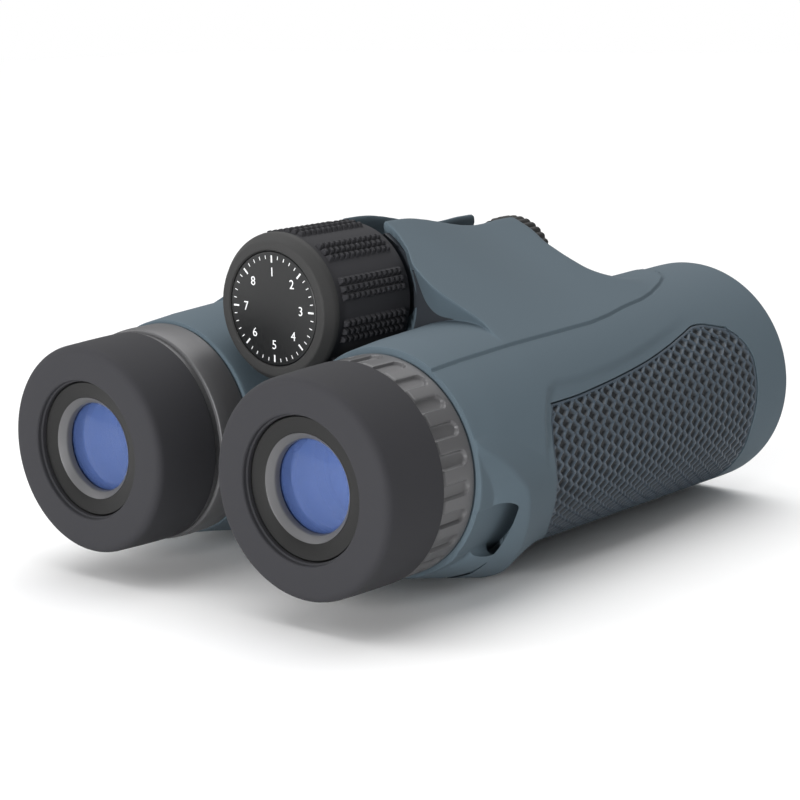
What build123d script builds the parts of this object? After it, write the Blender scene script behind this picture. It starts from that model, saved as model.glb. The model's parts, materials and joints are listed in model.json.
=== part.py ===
from build123d import *
import math
import os

# Roof-prism binoculars, folded to their smallest eye spacing.
# +Z is up, +Y points from the eyepieces towards the objectives, +X is the user's right.
# The origin lies under the middle of the object, at the height of the lowest rubber.
# Distances along Y are named from the front face of the eyecups, so 0 is the eye end.
# Units: millimetres.

# ---------------------------------------------------------------- driving sizes
length = 133.8                 # eyecup face to objective rim
half_spacing = 28.0            # barrel axis to the middle plane, half the eye spacing
hinge_rise = 26.8              # hinge axis above the barrel axes
rim_radius = 24.9              # rubber at the objective end
neck_radius = 21.8             # rubber at the eye end of the barrel
waist_radius = 23.4            # rubber at the middle of the barrel
neck_start = 24.3              # where the rubber starts, behind the diopter ring
waist_place = 60.0
rim_place = 124.0              # from here to the rim the rubber is cylindrical
skin = 1.6                     # rubber thickness
rim_lip = 2.8                  # rubber that overhangs the housing's front end
bore_radius = 18.4             # bore of the barrel housing

# bridge wings
wing_edge = 5.2                # inner face of each wing to the middle plane
wing_start = 46.0
wing_end = 98.0
ridge_rear = 41.0              # ridge height above the barrel axes
ridge_valley = 37.2
ridge_front = 37.5
ridge_rear_place = 57.0
ridge_valley_place = 84.0
ridge_chamfer = 1.5

# hinge
knuckle_radius = 9.5
knuckle_gap = 0.3              # radial air around a knuckle of the other half
knuckle_places = ((51.0, 59.0), (59.6, 75.4), (76.0, 84.0))   # left, right, left
shaft_radius = 5.5
shaft_bore = 3.6
bush_wall = 1.1
running = 0.06                 # radial clearance of a turning or sliding fit
air = 0.3                      # gap between neighbours that move past each other
shaft_start = 34.4
socket_flange_radius = 9.5
socket_flange_wide = 1.7
socket_boss_radius = 6.0
socket_boss_long = 4.5
socket_radius = 3.175          # 1/4-20 tripod thread, plain at its major diameter
socket_depth = 5.7

# focus wheel, on the hinge axis
wheel_radius = 14.74
wheel_face_inset = 1.54        # face edge inside the wheel's radius
wheel_start = 24.7
wheel_end = 49.7
wheel_chamfer = 2.2
wheel_band = 0.8               # plain band behind the chamfer
tyre_seat = 1.74               # depth of the tyre's seat in the wheel
tyre_sunk = 0.79               # smooth bands of the tyre below the wheel's radius
pad_proud = 0.46               # raised knurled pads above the wheel's radius
pad_count = 11
pad_angle = 19.0
pad_margin = 1.6
dial_margin = 2.0              # ring of the wheel's face round the dial
dial_thick = 0.6
dial_sunk = 0.3
wheel_web = 8.4                # solid depth behind the dial

# focusing
focus_travel = 2.25            # each way
yoke_radius = 8.6
yoke_thick = 3.0
left_yoke_place = 87.4
yoke_split = 0.2               # between the left and right yoke rings
arm_width = 5.0
focus_cell_long = 6.2
focus_lens_radius = 13.4
nut_radius = 3.5
screw_radius = 2.2
pin_radius = 1.2
pin_reach = 8.0

# tripod cap
cap_end = 106.2
cap_radius = 10.1
cap_head = 1.0
cap_head_radius = 5.0
cap_groove_count = 36
cap_groove_depth = 0.4

# objective group
objective_cell_wall = 1.8      # between the bore and the lens
objective_cell_start = 110.0
objective_cell_end = 122.0
objective_seat = 0.6
objective_seal_thick = 0.6
retainer_long = 3.2
retainer_cover = 0.5           # how far the retainer overlaps the lens

# prisms
cage_start = 53.0
cage_end = 83.0
prism_width = 20.0
cage_wall = 2.0                # bore to the corners of the prisms
prism_gap = 0.3
cage_screw_radius = 1.0

# eyepiece
tube_radius = 15.6
tube_nose_radius = 13.4
tube_bore = 11.5
tube_face = 1.9                # how far the tube's face lies inside the eyecup
tube_shoulder = 4.5
tube_flange_end = 31.0
bezel_radius = 10.1
bezel_bore = 8.8
bezel_deep = 1.2
eye_lens_radius = 10.2
eye_lens_thick = 4.6
field_cell_place = 17.0
field_cell_long = 6.5
field_cell_wall = 1.5
field_lens_thick = 3.4
diopter_travel = 1.0           # each way
diopter_pin_radius = 1.0

# eyecups
cup_radius_face = 20.2
cup_radius_rear = 21.1
cup_end = 14.9
cup_hole = 13.75
cup_front_wall = 4.2
cup_side_wall = 2.8
cup_edge = 1.7                 # rounding of the front edge

# rings behind the eyecups
ring_radius = 21.0
collar_radius = 21.6
collar_step = 1.3
notch_count = 24
notch_width = 2.6
notch_depth = 0.7
notch_long = 7.1

# strap lugs, low on the outer sides
lug_angle = -58.0              # direction of the lug from the barrel axis
lug_offset = 4.0               # its own axis lies this far out in that direction
lug_reach_start = 22.5
lug_shoulder = 24.9
lug_shoulder_place = 31.0
lug_reach = 26.8
lug_peak = 44.0
lug_end = 60.0
slot_radius = 23.3
slot_width = 2.9
slot_from = -46.0
slot_to = -13.0
slot_deep_end = 42.0
slot_exit_width = 6.0

# grip pads
pad_sunk = 0.9                 # depth of the pad let into the armour

# ---------------------------------------------------------------- places that follow
lug_drop = lug_offset * math.sin(math.radians(-lug_angle)) + lug_reach - lug_offset
axis_z = max(rim_radius, lug_drop)
hinge_z = axis_z + hinge_rise
eye_y = -length / 2
arm_length = math.hypot(half_spacing, hinge_rise)
ring_start = cup_end + air
ring_end = neck_start - air
housing_end = length - rim_lip
bridge_front = wing_end + air
shaft_end = bridge_front + socket_flange_wide + socket_boss_long
wheel_face_radius = wheel_radius - wheel_face_inset
hub_radius = wheel_radius - tyre_seat
grip_radius = wheel_radius - tyre_sunk
pad_radius = wheel_radius + pad_proud
dial_radius = wheel_face_radius - dial_margin
wheel_well = pad_radius + 2 * air
objective_lens_radius = bore_radius - objective_cell_wall
retainer_bore = objective_lens_radius - retainer_cover
prism_height = round(2 * math.sqrt((bore_radius - cage_wall) ** 2 - (prism_width / 2) ** 2), 2)
right_yoke_place = left_yoke_place + yoke_thick + yoke_split
arm_slot_start = left_yoke_place - focus_travel - air
arm_slot_end = right_yoke_place + yoke_thick + focus_travel + air
focus_cell_radius = bore_radius - running
focus_cell_place = (left_yoke_place + right_yoke_place + yoke_thick) / 2 - focus_cell_long / 2
cap_start = bridge_front + socket_flange_wide + air

os.makedirs("parts", exist_ok=True)


def save(piece, name):
    """Label a finished piece and write it as parts/name.step."""
    piece.part.label = name
    export_step(piece.part, f"parts/{name}.step")


def centre(side):
    """(x, z) of a barrel axis: side is -1 for left, 1 for right, 0 for the hinge axis."""
    return side * half_spacing, hinge_z if side == 0 else axis_z


def across(side, place):
    """Upright plane across an axis; its normal points to the eye end."""
    x, z = centre(side)
    return Plane(origin=(x, eye_y + place, z), x_dir=(1, 0, 0), z_dir=(0, -1, 0))


def turned(side, *outline, mode=Mode.ADD):
    """Add a body of revolution: outline points are (radius, place along Y)."""
    x, z = centre(side)
    with BuildSketch(Plane(origin=(x, eye_y, z))) as profile:
        with BuildLine():
            Polyline(*outline, close=True)
        make_face()
    revolve(profile.sketch, axis=Axis((x, 0, z), (0, 1, 0)), mode=mode)


def tube(side, inner, outer, start, end, mode=Mode.ADD):
    """Add a plain ring or disc between two places."""
    turned(side, (inner, start), (outer, start), (outer, end), (inner, end), mode=mode)


def lens(side, radius, start, thick, front_bulge, rear_bulge):
    """Add a round lens; a bulge is positive outwards, front is the objective side."""
    x, z = centre(side)
    end = start + thick
    middle = []
    for bulge in (front_bulge, rear_bulge):
        curve = (radius**2 + bulge**2) / (2 * bulge)
        turn = math.asin(radius / curve) / 2
        middle.append((curve * math.sin(turn), bulge - curve * (1 - math.cos(turn))))
    with BuildSketch(Plane(origin=(x, eye_y, z))) as profile:
        with BuildLine():
            Line((0, start - rear_bulge), (0, end + front_bulge))
            ThreePointArc((0, end + front_bulge), (middle[0][0], end + middle[0][1]), (radius, end))
            Line((radius, end), (radius, start))
            ThreePointArc((radius, start), (middle[1][0], start - middle[1][1]), (0, start - rear_bulge))
        make_face()
    revolve(profile.sketch, axis=Axis((x, 0, z), (0, 1, 0)))


def rubber_radius(place):
    """Outer radius of the barrel's rubber at a place along it."""
    if place < waist_place:
        share = (place - neck_start) / (waist_place - neck_start)
        return neck_radius + share * (waist_radius - neck_radius)
    share = min(1.0, (place - waist_place) / (rim_place - waist_place))
    return waist_radius + share * (rim_radius - waist_radius)


def barrel_outline(inset, end):
    """Closed half outline of the barrel, taken in by inset."""
    return (
        (0, neck_start),
        (neck_radius - inset, neck_start),
        (waist_radius - inset, waist_place),
        (rim_radius - inset, rim_place),
        (rim_radius - inset, end),
        (0, end),
    )


def wing_section(side, place, ridge, inset):
    """Cross-section of a wing: from its ridge a flat runs tangent onto the barrel."""
    radius = rubber_radius(place) - inset
    top = ridge - 1.25 * inset
    edge = wing_edge + ridge_chamfer
    away = half_spacing - edge
    slope = math.atan2(top, -away)
    touch = slope - math.acos(radius / math.hypot(away, top))
    reach = radius - 0.05
    points = (
        (wing_edge - half_spacing, 0),
        (wing_edge - half_spacing, top - ridge_chamfer),
        (-away, top),
        (reach * math.cos(touch), reach * math.sin(touch)),
        (0, 0),
    )
    with BuildSketch(across(side, place)) as section:
        with BuildLine():
            Polyline(*[(side * x, z) for x, z in points], close=True)
        make_face()
    return section.sketch


def wing(side, inset):
    """The bridge wing of one half, lofted through its ridge heights."""
    stations = (
        (wing_start + inset, ridge_rear),
        (ridge_rear_place, ridge_rear),
        (ridge_valley_place, ridge_valley),
        (wing_end - inset, ridge_front),
    )
    with BuildPart() as body:
        for (near, low), (far, high) in zip(stations, stations[1:]):
            loft([wing_section(side, near, low, inset), wing_section(side, far, high, inset)], ruled=True)
    return body.part


def cut_wheel_well(inset):
    """Open one half round the focus wheel, from before the rubber to the first knuckle."""
    tube(0, 0, wheel_well + inset, neck_start - 1, knuckle_places[0][0], mode=Mode.SUBTRACT)


def core(side):
    """Solid outer shape of a housing: its barrel and wing under the rubber, clear of the wheel."""
    with BuildPart() as body:
        turned(side, *barrel_outline(skin, housing_end))
        add(wing(side, skin))
        cut_wheel_well(skin)
    return body.part


def grip_outline(side):
    """Solid that marks out the grip pad, cut from its outline seen from the side."""
    with BuildPart() as body:
        with BuildSketch(Plane(origin=(side * half_spacing, eye_y, axis_z),
                               x_dir=(0, 1, 0), z_dir=(1, 0, 0))) as outline:
            with BuildLine():
                top = Spline((48.7, 9.6), (64.4, 10.4), (83.4, 12.5), (102.0, 16.0))
                corner = Spline(top @ 1, (107.5, 16.0), (114.5, 14.4), (119.4, 9.6),
                                tangents=(top % 1, (0.35, -1)))
                front = Spline(corner @ 1, (120.3, 2.6), (119.6, -7.2), (123.0, -19.7))
                low = Line(front @ 1, (58.0, -19.7))
                Spline(low @ 1, (49.1, -10.1), (46.0, 1.5), (48.7, 9.6))
            make_face()
        extrude(outline.sketch, amount=side * 2 * rim_radius)
    return body.part


def strap_lug(side):
    """Strap lug: a cone on an axis set towards the lower outer side, so it fades into the barrel."""
    angle = math.radians(lug_angle)
    x = side * (half_spacing + lug_offset * math.cos(angle))
    z = axis_z + lug_offset * math.sin(angle)
    with BuildPart() as body:
        with BuildSketch(Plane(origin=(x, eye_y, z))) as profile:
            with BuildLine():
                Polyline(
                    (0, neck_start),
                    (lug_reach_start - lug_offset, neck_start),
                    (lug_shoulder - lug_offset, lug_shoulder_place),
                    (lug_reach - lug_offset, lug_peak),
                    (neck_radius - lug_offset, lug_end),
                    (0, lug_end),
                    close=True,
                )
            make_face()
        revolve(profile.sketch, axis=Axis((x, 0, z), (0, 1, 0)))
    return body.part


def strap_slot(side):
    """The strap's way through a lug: a curved slot from the eye end that leaves underneath."""
    with BuildPart() as body:
        with BuildSketch(across(side, neck_start - 1)) as mouth:
            with BuildLine():
                start = slot_from if side > 0 else 180 - slot_to
                way = CenterArc((0, 0), slot_radius, start, slot_to - slot_from)
            SlotArc(way, slot_width)
        extrude(mouth.sketch, amount=-(slot_deep_end - neck_start + 1))
        with BuildSketch(across(side, slot_deep_end - slot_exit_width)) as way_out:
            angle = slot_from if side > 0 else 180 - slot_from
            with Locations((slot_radius * math.cos(math.radians(angle)),
                            slot_radius * math.sin(math.radians(angle)) - slot_radius / 3)):
                Rectangle(slot_width * 1.2, 2 * slot_radius / 3)
        extrude(way_out.sketch, amount=-slot_exit_width)
    return body.part


def knuckles(side):
    """Places of the hinge knuckles that belong to one half."""
    return knuckle_places[1:2] if side > 0 else knuckle_places[0::2]


def cut_knuckle_room(side):
    """Open one half around the knuckles of the other, up to the faces of its own."""
    (rear_start, rear_end), (mid_start, mid_end), (front_start, front_end) = knuckle_places
    rooms = ((rear_start, mid_start), (mid_end, front_end)) if side > 0 else ((rear_end, front_start),)
    for start, end in rooms:
        tube(0, 0, knuckle_radius + knuckle_gap, start, end, mode=Mode.SUBTRACT)


def arm_box(side, inner, outer, start, end, width):
    """Straight bar from the hinge axis towards a barrel axis, between two distances."""
    toward = Vector(side * half_spacing, 0, -hinge_rise).normalized()
    origin = Vector(0, eye_y + start, hinge_z) + toward * ((inner + outer) / 2)
    with BuildPart() as body:
        with BuildSketch(Plane(origin=origin, x_dir=toward, z_dir=(0, 1, 0))) as profile:
            Rectangle(outer - inner, width)
        extrude(profile.sketch, amount=end - start)
    return body.part


def cross_pins():
    """The two pins that carry the focus nut's push through the shaft's slots to the left yoke."""
    middle = eye_y + left_yoke_place + yoke_thick / 2
    with BuildPart() as body:
        for way in (-1, 1):
            with Locations((way * (nut_radius + pin_reach) / 2, middle, hinge_z)):
                Cylinder(pin_radius, pin_reach - nut_radius, rotation=(0, 90, 0))
    return body.part


# ---------------------------------------------------------------- the two halves
for side, hand in ((-1, "left"), (1, "right")):

    # housing: barrel tube, bridge wing and hinge knuckles in one moulding
    with BuildPart() as housing:
        add(core(side))
        cut_knuckle_room(side)
        for start, end in knuckles(side):
            tube(0, 0, knuckle_radius, start, end)
            seat = shaft_radius + bush_wall if side > 0 else shaft_radius
            tube(0, 0, seat, start, end, mode=Mode.SUBTRACT)
        tube(0, 0, yoke_radius + 2 * air, knuckle_places[2][1], wing_end, mode=Mode.SUBTRACT)
        tube(side, 0, bore_radius, neck_start, housing_end, mode=Mode.SUBTRACT)
        arm_room = arm_box(side, 0, arm_length, arm_slot_start, arm_slot_end, arm_width + 2 * air)
        add(arm_room, mode=Mode.SUBTRACT)
        with Locations(across(side, (cage_start + cage_end) / 2)):
            Cylinder(cage_screw_radius, 4 * bore_radius, rotation=(90, 0, 0), mode=Mode.SUBTRACT)
    save(housing, f"{hand}_housing")

    # armour: rubber skin over the housing, with the strap lug and a seat for the grip pad
    with BuildPart() as armour:
        turned(side, *barrel_outline(0, length))
        fillet(armour.edges().filter_by(GeomType.CIRCLE).sort_by(Axis.Y)[-1], 1.6)
        add(wing(side, 0))
        add(strap_lug(side))
        cut_wheel_well(0)
        add(core(side), mode=Mode.SUBTRACT)
        tube(side, 0, bore_radius + 0.5, neck_start, length, mode=Mode.SUBTRACT)
        tube(0, 0, knuckle_radius + knuckle_gap, knuckle_places[0][0], wing_end, mode=Mode.SUBTRACT)
        add(strap_slot(side), mode=Mode.SUBTRACT)
    with BuildPart() as pad_shell:
        turned(side, *barrel_outline(0, length))
        turned(side, *barrel_outline(pad_sunk, length), mode=Mode.SUBTRACT)
        add(grip_outline(side), mode=Mode.INTERSECT)
    with BuildPart() as grip_pad:
        add(pad_shell.part)
        add(strap_lug(side), mode=Mode.SUBTRACT)
    with BuildPart() as seated_armour:
        add(armour.part)
        add(grip_pad.part, mode=Mode.SUBTRACT)
    save(seated_armour, f"{hand}_armour")
    save(grip_pad, f"{hand}_grip_pad")

    # objective group, screwed in from the front
    with BuildPart() as objective_cell:
        tube(side, objective_lens_radius, bore_radius, objective_cell_start, objective_cell_end)
        tube(side, retainer_bore, objective_lens_radius, objective_cell_start, objective_cell_start + 1)
    save(objective_cell, f"{hand}_objective_cell")

    lens_start = objective_cell_start + 1 + objective_seat
    with BuildPart() as objective_lens:
        lens(side, objective_lens_radius, lens_start, objective_cell_end - 1.6 - lens_start, 1.6, -0.5)
    save(objective_lens, f"{hand}_objective_lens")

    ring_place = objective_cell_end + objective_seal_thick
    with BuildPart() as objective_seal:
        tube(side, retainer_bore + 0.4, bore_radius, objective_cell_end, ring_place)
    save(objective_seal, f"{hand}_objective_seal")

    with BuildPart() as objective_retainer:
        turned(
            side,
            (retainer_bore, ring_place),
            (bore_radius, ring_place),
            (bore_radius, ring_place + retainer_long),
            (retainer_bore + 1.2, ring_place + retainer_long),
        )
    save(objective_retainer, f"{hand}_objective_retainer")

    # focusing group: yoke ring on the shaft, arm and lens mount in one piece
    yoke_place = left_yoke_place if side < 0 else right_yoke_place
    with BuildPart() as focus_arm:
        tube(0, 0, yoke_radius, yoke_place, yoke_place + yoke_thick)
        add(arm_box(side, yoke_radius - 1, arm_length - bore_radius + 1, yoke_place,
                    yoke_place + yoke_thick, arm_width))
        tube(side, focus_lens_radius, focus_cell_radius, focus_cell_place, focus_cell_place + focus_cell_long)
        tube(0, 0, shaft_radius + running, yoke_place, yoke_place + yoke_thick, mode=Mode.SUBTRACT)
        if side < 0:
            add(cross_pins(), mode=Mode.SUBTRACT)
    save(focus_arm, f"{hand}_focus_arm")

    with BuildPart() as focus_lens:
        lens(side, focus_lens_radius, focus_cell_place + 1.6, 2.6, -0.9, -0.5)
    save(focus_lens, f"{hand}_focus_lens")

    focus_cell_end = focus_cell_place + focus_cell_long
    with BuildPart() as focus_lens_ring:
        tube(side, focus_lens_radius - 1, focus_lens_radius, focus_cell_end - 2, focus_cell_end)
    save(focus_lens_ring, f"{hand}_focus_lens_ring")

    # prisms: a roof prism at the eye end and a half prism in front of it, in one cage
    prism_start = (cage_start + cage_end) / 2 - prism_height / 2
    half = prism_height / 2
    diagonal = prism_height / math.sqrt(2)
    with BuildPart() as roof_prism:
        with BuildSketch(Plane(origin=(side * half_spacing - prism_width / 2, eye_y + prism_start, axis_z),
                               x_dir=(0, 1, 0), z_dir=(1, 0, 0))):
            with BuildLine():
                Polyline((0, -half), (0, half), (diagonal, diagonal - half), close=True)
            make_face()
        extrude(amount=prism_width)
        roof = roof_prism.faces().sort_by(Axis.Z)[-1].edges().filter_by(Axis.X, reverse=True)
        chamfer(roof, length=prism_width * 0.3)
    save(roof_prism, f"{hand}_roof_prism")

    rise = (prism_height - 1) * math.tan(math.radians(22.5))
    with BuildPart() as half_prism:
        with BuildSketch(Plane(origin=(side * half_spacing - prism_width / 2, eye_y + prism_start, axis_z),
                               x_dir=(0, 1, 0), z_dir=(1, 0, 0))):
            with BuildLine():
                shift = prism_gap * math.sqrt(2)
                Polyline(
                    (shift, -half),
                    (prism_height - 1 + shift, half - 1),
                    (prism_height - 1 + shift, rise - half),
                    close=True,
                )
            make_face()
        extrude(amount=prism_width)
    save(half_prism, f"{hand}_half_prism")

    with BuildPart() as prism_cage:
        tube(side, 0, bore_radius, cage_start, cage_end)
        with BuildSketch(across(side, cage_start)):
            Rectangle(prism_width + 2 * air, prism_height + 2 * air)
        extrude(amount=-(cage_end - cage_start), mode=Mode.SUBTRACT)
        with Locations(across(side, (cage_start + cage_end) / 2)):
            Cylinder(cage_screw_radius, 4 * bore_radius, rotation=(90, 0, 0), mode=Mode.SUBTRACT)
        for near, far in ((cage_start, cage_start + 1), (cage_end - 1, cage_end)):
            with BuildSketch(across(side, near)):
                Rectangle(prism_width + 2 * air, prism_height + 2 * air)
                Circle(prism_width / 2 - 1, mode=Mode.SUBTRACT)
            extrude(amount=-(far - near))
    save(prism_cage, f"{hand}_prism_cage")

    # eyepiece
    with BuildPart() as ocular_tube:
        turned(
            side,
            (bezel_radius, tube_face),
            (tube_nose_radius, tube_face - 0.3),
            (tube_nose_radius, tube_shoulder),
            (tube_radius, tube_shoulder),
            (tube_radius, neck_start),
            (bore_radius, neck_start),
            (bore_radius, tube_flange_end),
            (tube_bore, tube_flange_end),
            (tube_bore, field_cell_place - 4),
            (eye_lens_radius - 1.2, field_cell_place - 4),
            (eye_lens_radius - 1.2, tube_shoulder + eye_lens_thick),
            (eye_lens_radius, tube_shoulder + eye_lens_thick),
            (eye_lens_radius, tube_face + bezel_deep),
            (bezel_radius, tube_face + bezel_deep),
        )
        if side > 0:
            with Locations(across(side, field_cell_place + field_cell_long / 2)):
                pin_room = 2 * (diopter_pin_radius + diopter_travel + air)
                Box(2 * diopter_pin_radius + 0.2, 3 * tube_radius, pin_room,
                    align=(Align.CENTER, Align.MIN, Align.CENTER), mode=Mode.SUBTRACT)
    save(ocular_tube, f"{hand}_ocular_tube")

    with BuildPart() as eye_lens:
        lens(side, eye_lens_radius, tube_shoulder + 0.4, eye_lens_thick - 0.4, -0.8, 1.1)
    save(eye_lens, f"{hand}_eye_lens")

    with BuildPart() as eye_lens_bezel:
        turned(
            side,
            (bezel_radius, tube_face + 0.1),
            (bezel_radius, tube_shoulder),
            (bezel_bore, tube_shoulder),
            (bezel_bore, tube_face + bezel_deep),
        )
    save(eye_lens_bezel, f"{hand}_eye_lens_bezel")

    with BuildPart() as field_cell:
        cell_fit = tube_bore - (running if side > 0 else 0)
        cell_bore = tube_bore - field_cell_wall
        tube(side, cell_bore, cell_fit, field_cell_place, field_cell_place + field_cell_long)
        tube(side, cell_bore - 1, cell_bore, field_cell_place, field_cell_place + 1)
        if side > 0:
            with Locations(across(side, field_cell_place + field_cell_long / 2)):
                with Locations((0, (cell_bore + tube_radius) / 2 + 0.2, 0)):
                    Cylinder(diopter_pin_radius, tube_radius - cell_bore - 0.4, rotation=(90, 0, 0))
    save(field_cell, f"{hand}_field_cell")

    with BuildPart() as field_lens:
        lens(side, tube_bore - field_cell_wall, field_cell_place + 1, field_lens_thick, 1.0, -0.4)
    save(field_lens, f"{hand}_field_lens")

    # eyecup and the keyed slip ring that it turns on
    with BuildPart() as eyecup:
        turned(
            side,
            (cup_hole, 0),
            (cup_radius_face, 0),
            (cup_radius_rear, cup_end * 0.8),
            (cup_radius_rear, cup_end),
            (cup_radius_rear - cup_side_wall, cup_end),
            (cup_radius_rear - cup_side_wall, cup_front_wall),
            (cup_hole, cup_front_wall),
        )
        rims = eyecup.edges().filter_by(GeomType.CIRCLE).group_by(Axis.Y)[0].sort_by(SortBy.RADIUS)
        fillet(rims[-1], cup_edge)
        fillet(eyecup.edges().filter_by(GeomType.CIRCLE).group_by(Axis.Y)[0].sort_by(SortBy.RADIUS)[0], 0.6)
    save(eyecup, f"{hand}_eyecup")

    with BuildPart() as eyecup_slip_ring:
        cup_bore = cup_radius_rear - cup_side_wall
        tube(side, tube_radius + running, cup_bore - running, tube_shoulder + 0.5, cup_end)
    save(eyecup_slip_ring, f"{hand}_eyecup_slip_ring")

    # prism cage screws, under the armour
    with BuildPart() as cage_screws:
        wall = rubber_radius((cage_start + cage_end) / 2) - skin
        for way in (-1, 1):
            with Locations((side * half_spacing, eye_y + (cage_start + cage_end) / 2,
                            axis_z + way * (wall + prism_height / 2 + 1.4) / 2)):
                Cylinder(cage_screw_radius, wall - prism_height / 2 - 1.6)
    save(cage_screws, f"{hand}_cage_screws")

# ---------------------------------------------------------------- rings behind the eyecups
with BuildPart() as left_collar_ring:
    turned(
        -1,
        (tube_radius, ring_start),
        (ring_radius, ring_start),
        (ring_radius, ring_start + collar_step),
        (collar_radius, ring_start + collar_step),
        (collar_radius, ring_end),
        (tube_radius, ring_end),
    )
save(left_collar_ring, "left_collar_ring")

with BuildPart() as diopter_ring:
    tube(1, tube_radius + running, ring_radius, ring_start, ring_end)
    chamfer(diopter_ring.edges().filter_by(GeomType.CIRCLE).group_by(SortBy.RADIUS)[-1], 0.3)
    with Locations(across(1, ring_start - 0.1)):
        with PolarLocations(ring_radius, notch_count, start_angle=-2):
            Box(2 * notch_depth, notch_width, notch_long + 0.1,
                align=(Align.CENTER, Align.CENTER, Align.MAX), mode=Mode.SUBTRACT)
save(diopter_ring, "diopter_ring")

# ---------------------------------------------------------------- hinge
with BuildPart() as hinge_shaft:
    tube(0, 0, shaft_radius, shaft_start, bridge_front)
    tube(0, 0, socket_flange_radius, bridge_front, bridge_front + socket_flange_wide)
    tube(0, 0, socket_boss_radius, bridge_front + socket_flange_wide, shaft_end)
    tube(0, 0, shaft_bore, shaft_start, bridge_front - 0.6, mode=Mode.SUBTRACT)
    tube(0, 0, socket_radius, shaft_end - socket_depth, shaft_end, mode=Mode.SUBTRACT)
    slot_mid = left_yoke_place + yoke_thick / 2
    with Locations(across(0, slot_mid)):
        Box(3 * shaft_radius, 2 * pin_radius + 0.2, 2 * (pin_radius + focus_travel + air), mode=Mode.SUBTRACT)
save(hinge_shaft, "hinge_shaft")

with BuildPart() as hinge_nut:
    tube(0, shaft_radius, shaft_radius + 2.4, knuckle_places[0][0] - 0.9, knuckle_places[0][0])
save(hinge_nut, "hinge_nut")

with BuildPart() as hinge_bush:
    tube(0, shaft_radius + running, shaft_radius + bush_wall, *knuckle_places[1])
save(hinge_bush, "hinge_bush")

with BuildPart() as hinge_washers:
    tube(0, shaft_radius, knuckle_radius - 1, knuckle_places[0][1], knuckle_places[1][0] - running)
    tube(0, shaft_radius, knuckle_radius - 1, knuckle_places[1][1] + running, knuckle_places[2][0])
save(hinge_washers, "hinge_washers")

# ---------------------------------------------------------------- focus wheel and drive
dial_place = wheel_start + dial_sunk
wheel_inside = dial_place + wheel_web
with BuildPart() as focus_wheel:
    turned(
        0,
        (0, dial_place + dial_thick),
        (dial_radius, dial_place + dial_thick),
        (dial_radius, wheel_start),
        (wheel_face_radius, wheel_start),
        (wheel_radius, wheel_start + wheel_chamfer),
        (wheel_radius, wheel_start + wheel_chamfer + wheel_band),
        (hub_radius, wheel_start + wheel_chamfer + wheel_band),
        (hub_radius, wheel_end),
        (shaft_radius + running, wheel_end),
        (shaft_radius + running, wheel_inside),
        (0, wheel_inside),
    )
save(focus_wheel, "focus_wheel")

tyre_start = wheel_start + wheel_chamfer + wheel_band
with BuildPart() as focus_wheel_grip:
    tube(0, hub_radius, grip_radius, tyre_start, wheel_end)
    with BuildSketch(across(0, tyre_start + pad_margin)) as pads:
        with PolarLocations(0, pad_count, start_angle=17.2):
            with BuildLine():
                outer = CenterArc((0, 0), pad_radius, -pad_angle / 2, pad_angle)
                inner = CenterArc((0, 0), grip_radius - 0.2, -pad_angle / 2, pad_angle)
                Line(outer @ 0, inner @ 0)
                Line(outer @ 1, inner @ 1)
            make_face()
    extrude(pads.sketch, amount=-(wheel_end - tyre_start - 2 * pad_margin))
save(focus_wheel_grip, "focus_wheel_grip")

with BuildPart() as focus_dial:
    tube(0, 0, dial_radius, dial_place, dial_place + dial_thick)
save(focus_dial, "focus_dial")

screw_neck = knuckle_places[2][0]
with BuildPart() as focus_screw:
    tube(0, 0, shaft_bore - running, wheel_inside, screw_neck)
    tube(0, 0, screw_radius, screw_neck, bridge_front - 0.6 - air)
save(focus_screw, "focus_screw")

with BuildPart() as focus_nut:
    tube(0, screw_radius + running, nut_radius, left_yoke_place, left_yoke_place + yoke_thick)
save(focus_nut, "focus_nut")

with BuildPart() as focus_pin:
    add(cross_pins())
save(focus_pin, "focus_pin")

# ---------------------------------------------------------------- tripod cap
with BuildPart() as tripod_cap:
    tube(0, 0, cap_radius, cap_start, cap_end)
    chamfer(tripod_cap.edges().filter_by(GeomType.CIRCLE).sort_by(Axis.Y)[-1], 0.8)
    tube(0, 0, socket_boss_radius + air, cap_start, shaft_end + air, mode=Mode.SUBTRACT)
    tube(0, 0, socket_radius, shaft_end, cap_end - cap_head, mode=Mode.SUBTRACT)
    tube(0, 0, cap_head_radius, cap_end - cap_head, cap_end, mode=Mode.SUBTRACT)
    with Locations(across(0, cap_start)):
        with PolarLocations(cap_radius, cap_groove_count):
            Box(2 * cap_groove_depth, 0.8, 2 * (cap_end - cap_start - 0.8), mode=Mode.SUBTRACT)
save(tripod_cap, "tripod_cap")

with BuildPart() as tripod_cap_stud:
    tube(0, 0, socket_radius - running, shaft_end - socket_depth + air, cap_end - cap_head + running)
    tube(0, 0, cap_head_radius - running, cap_end - cap_head + running, cap_end - 0.2)
save(tripod_cap_stud, "tripod_cap_stud")
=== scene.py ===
"""Looks of a pair of folded roof-prism binoculars, built round their fixed CAD frame.

Sizes are in millimetres and angles in degrees. Each barrel has its own frame: angle 0 points to
the outer side, 90 straight up and 180 to the other barrel; place runs along +Y from the eyecup's
front face.
"""
import json
import math

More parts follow.
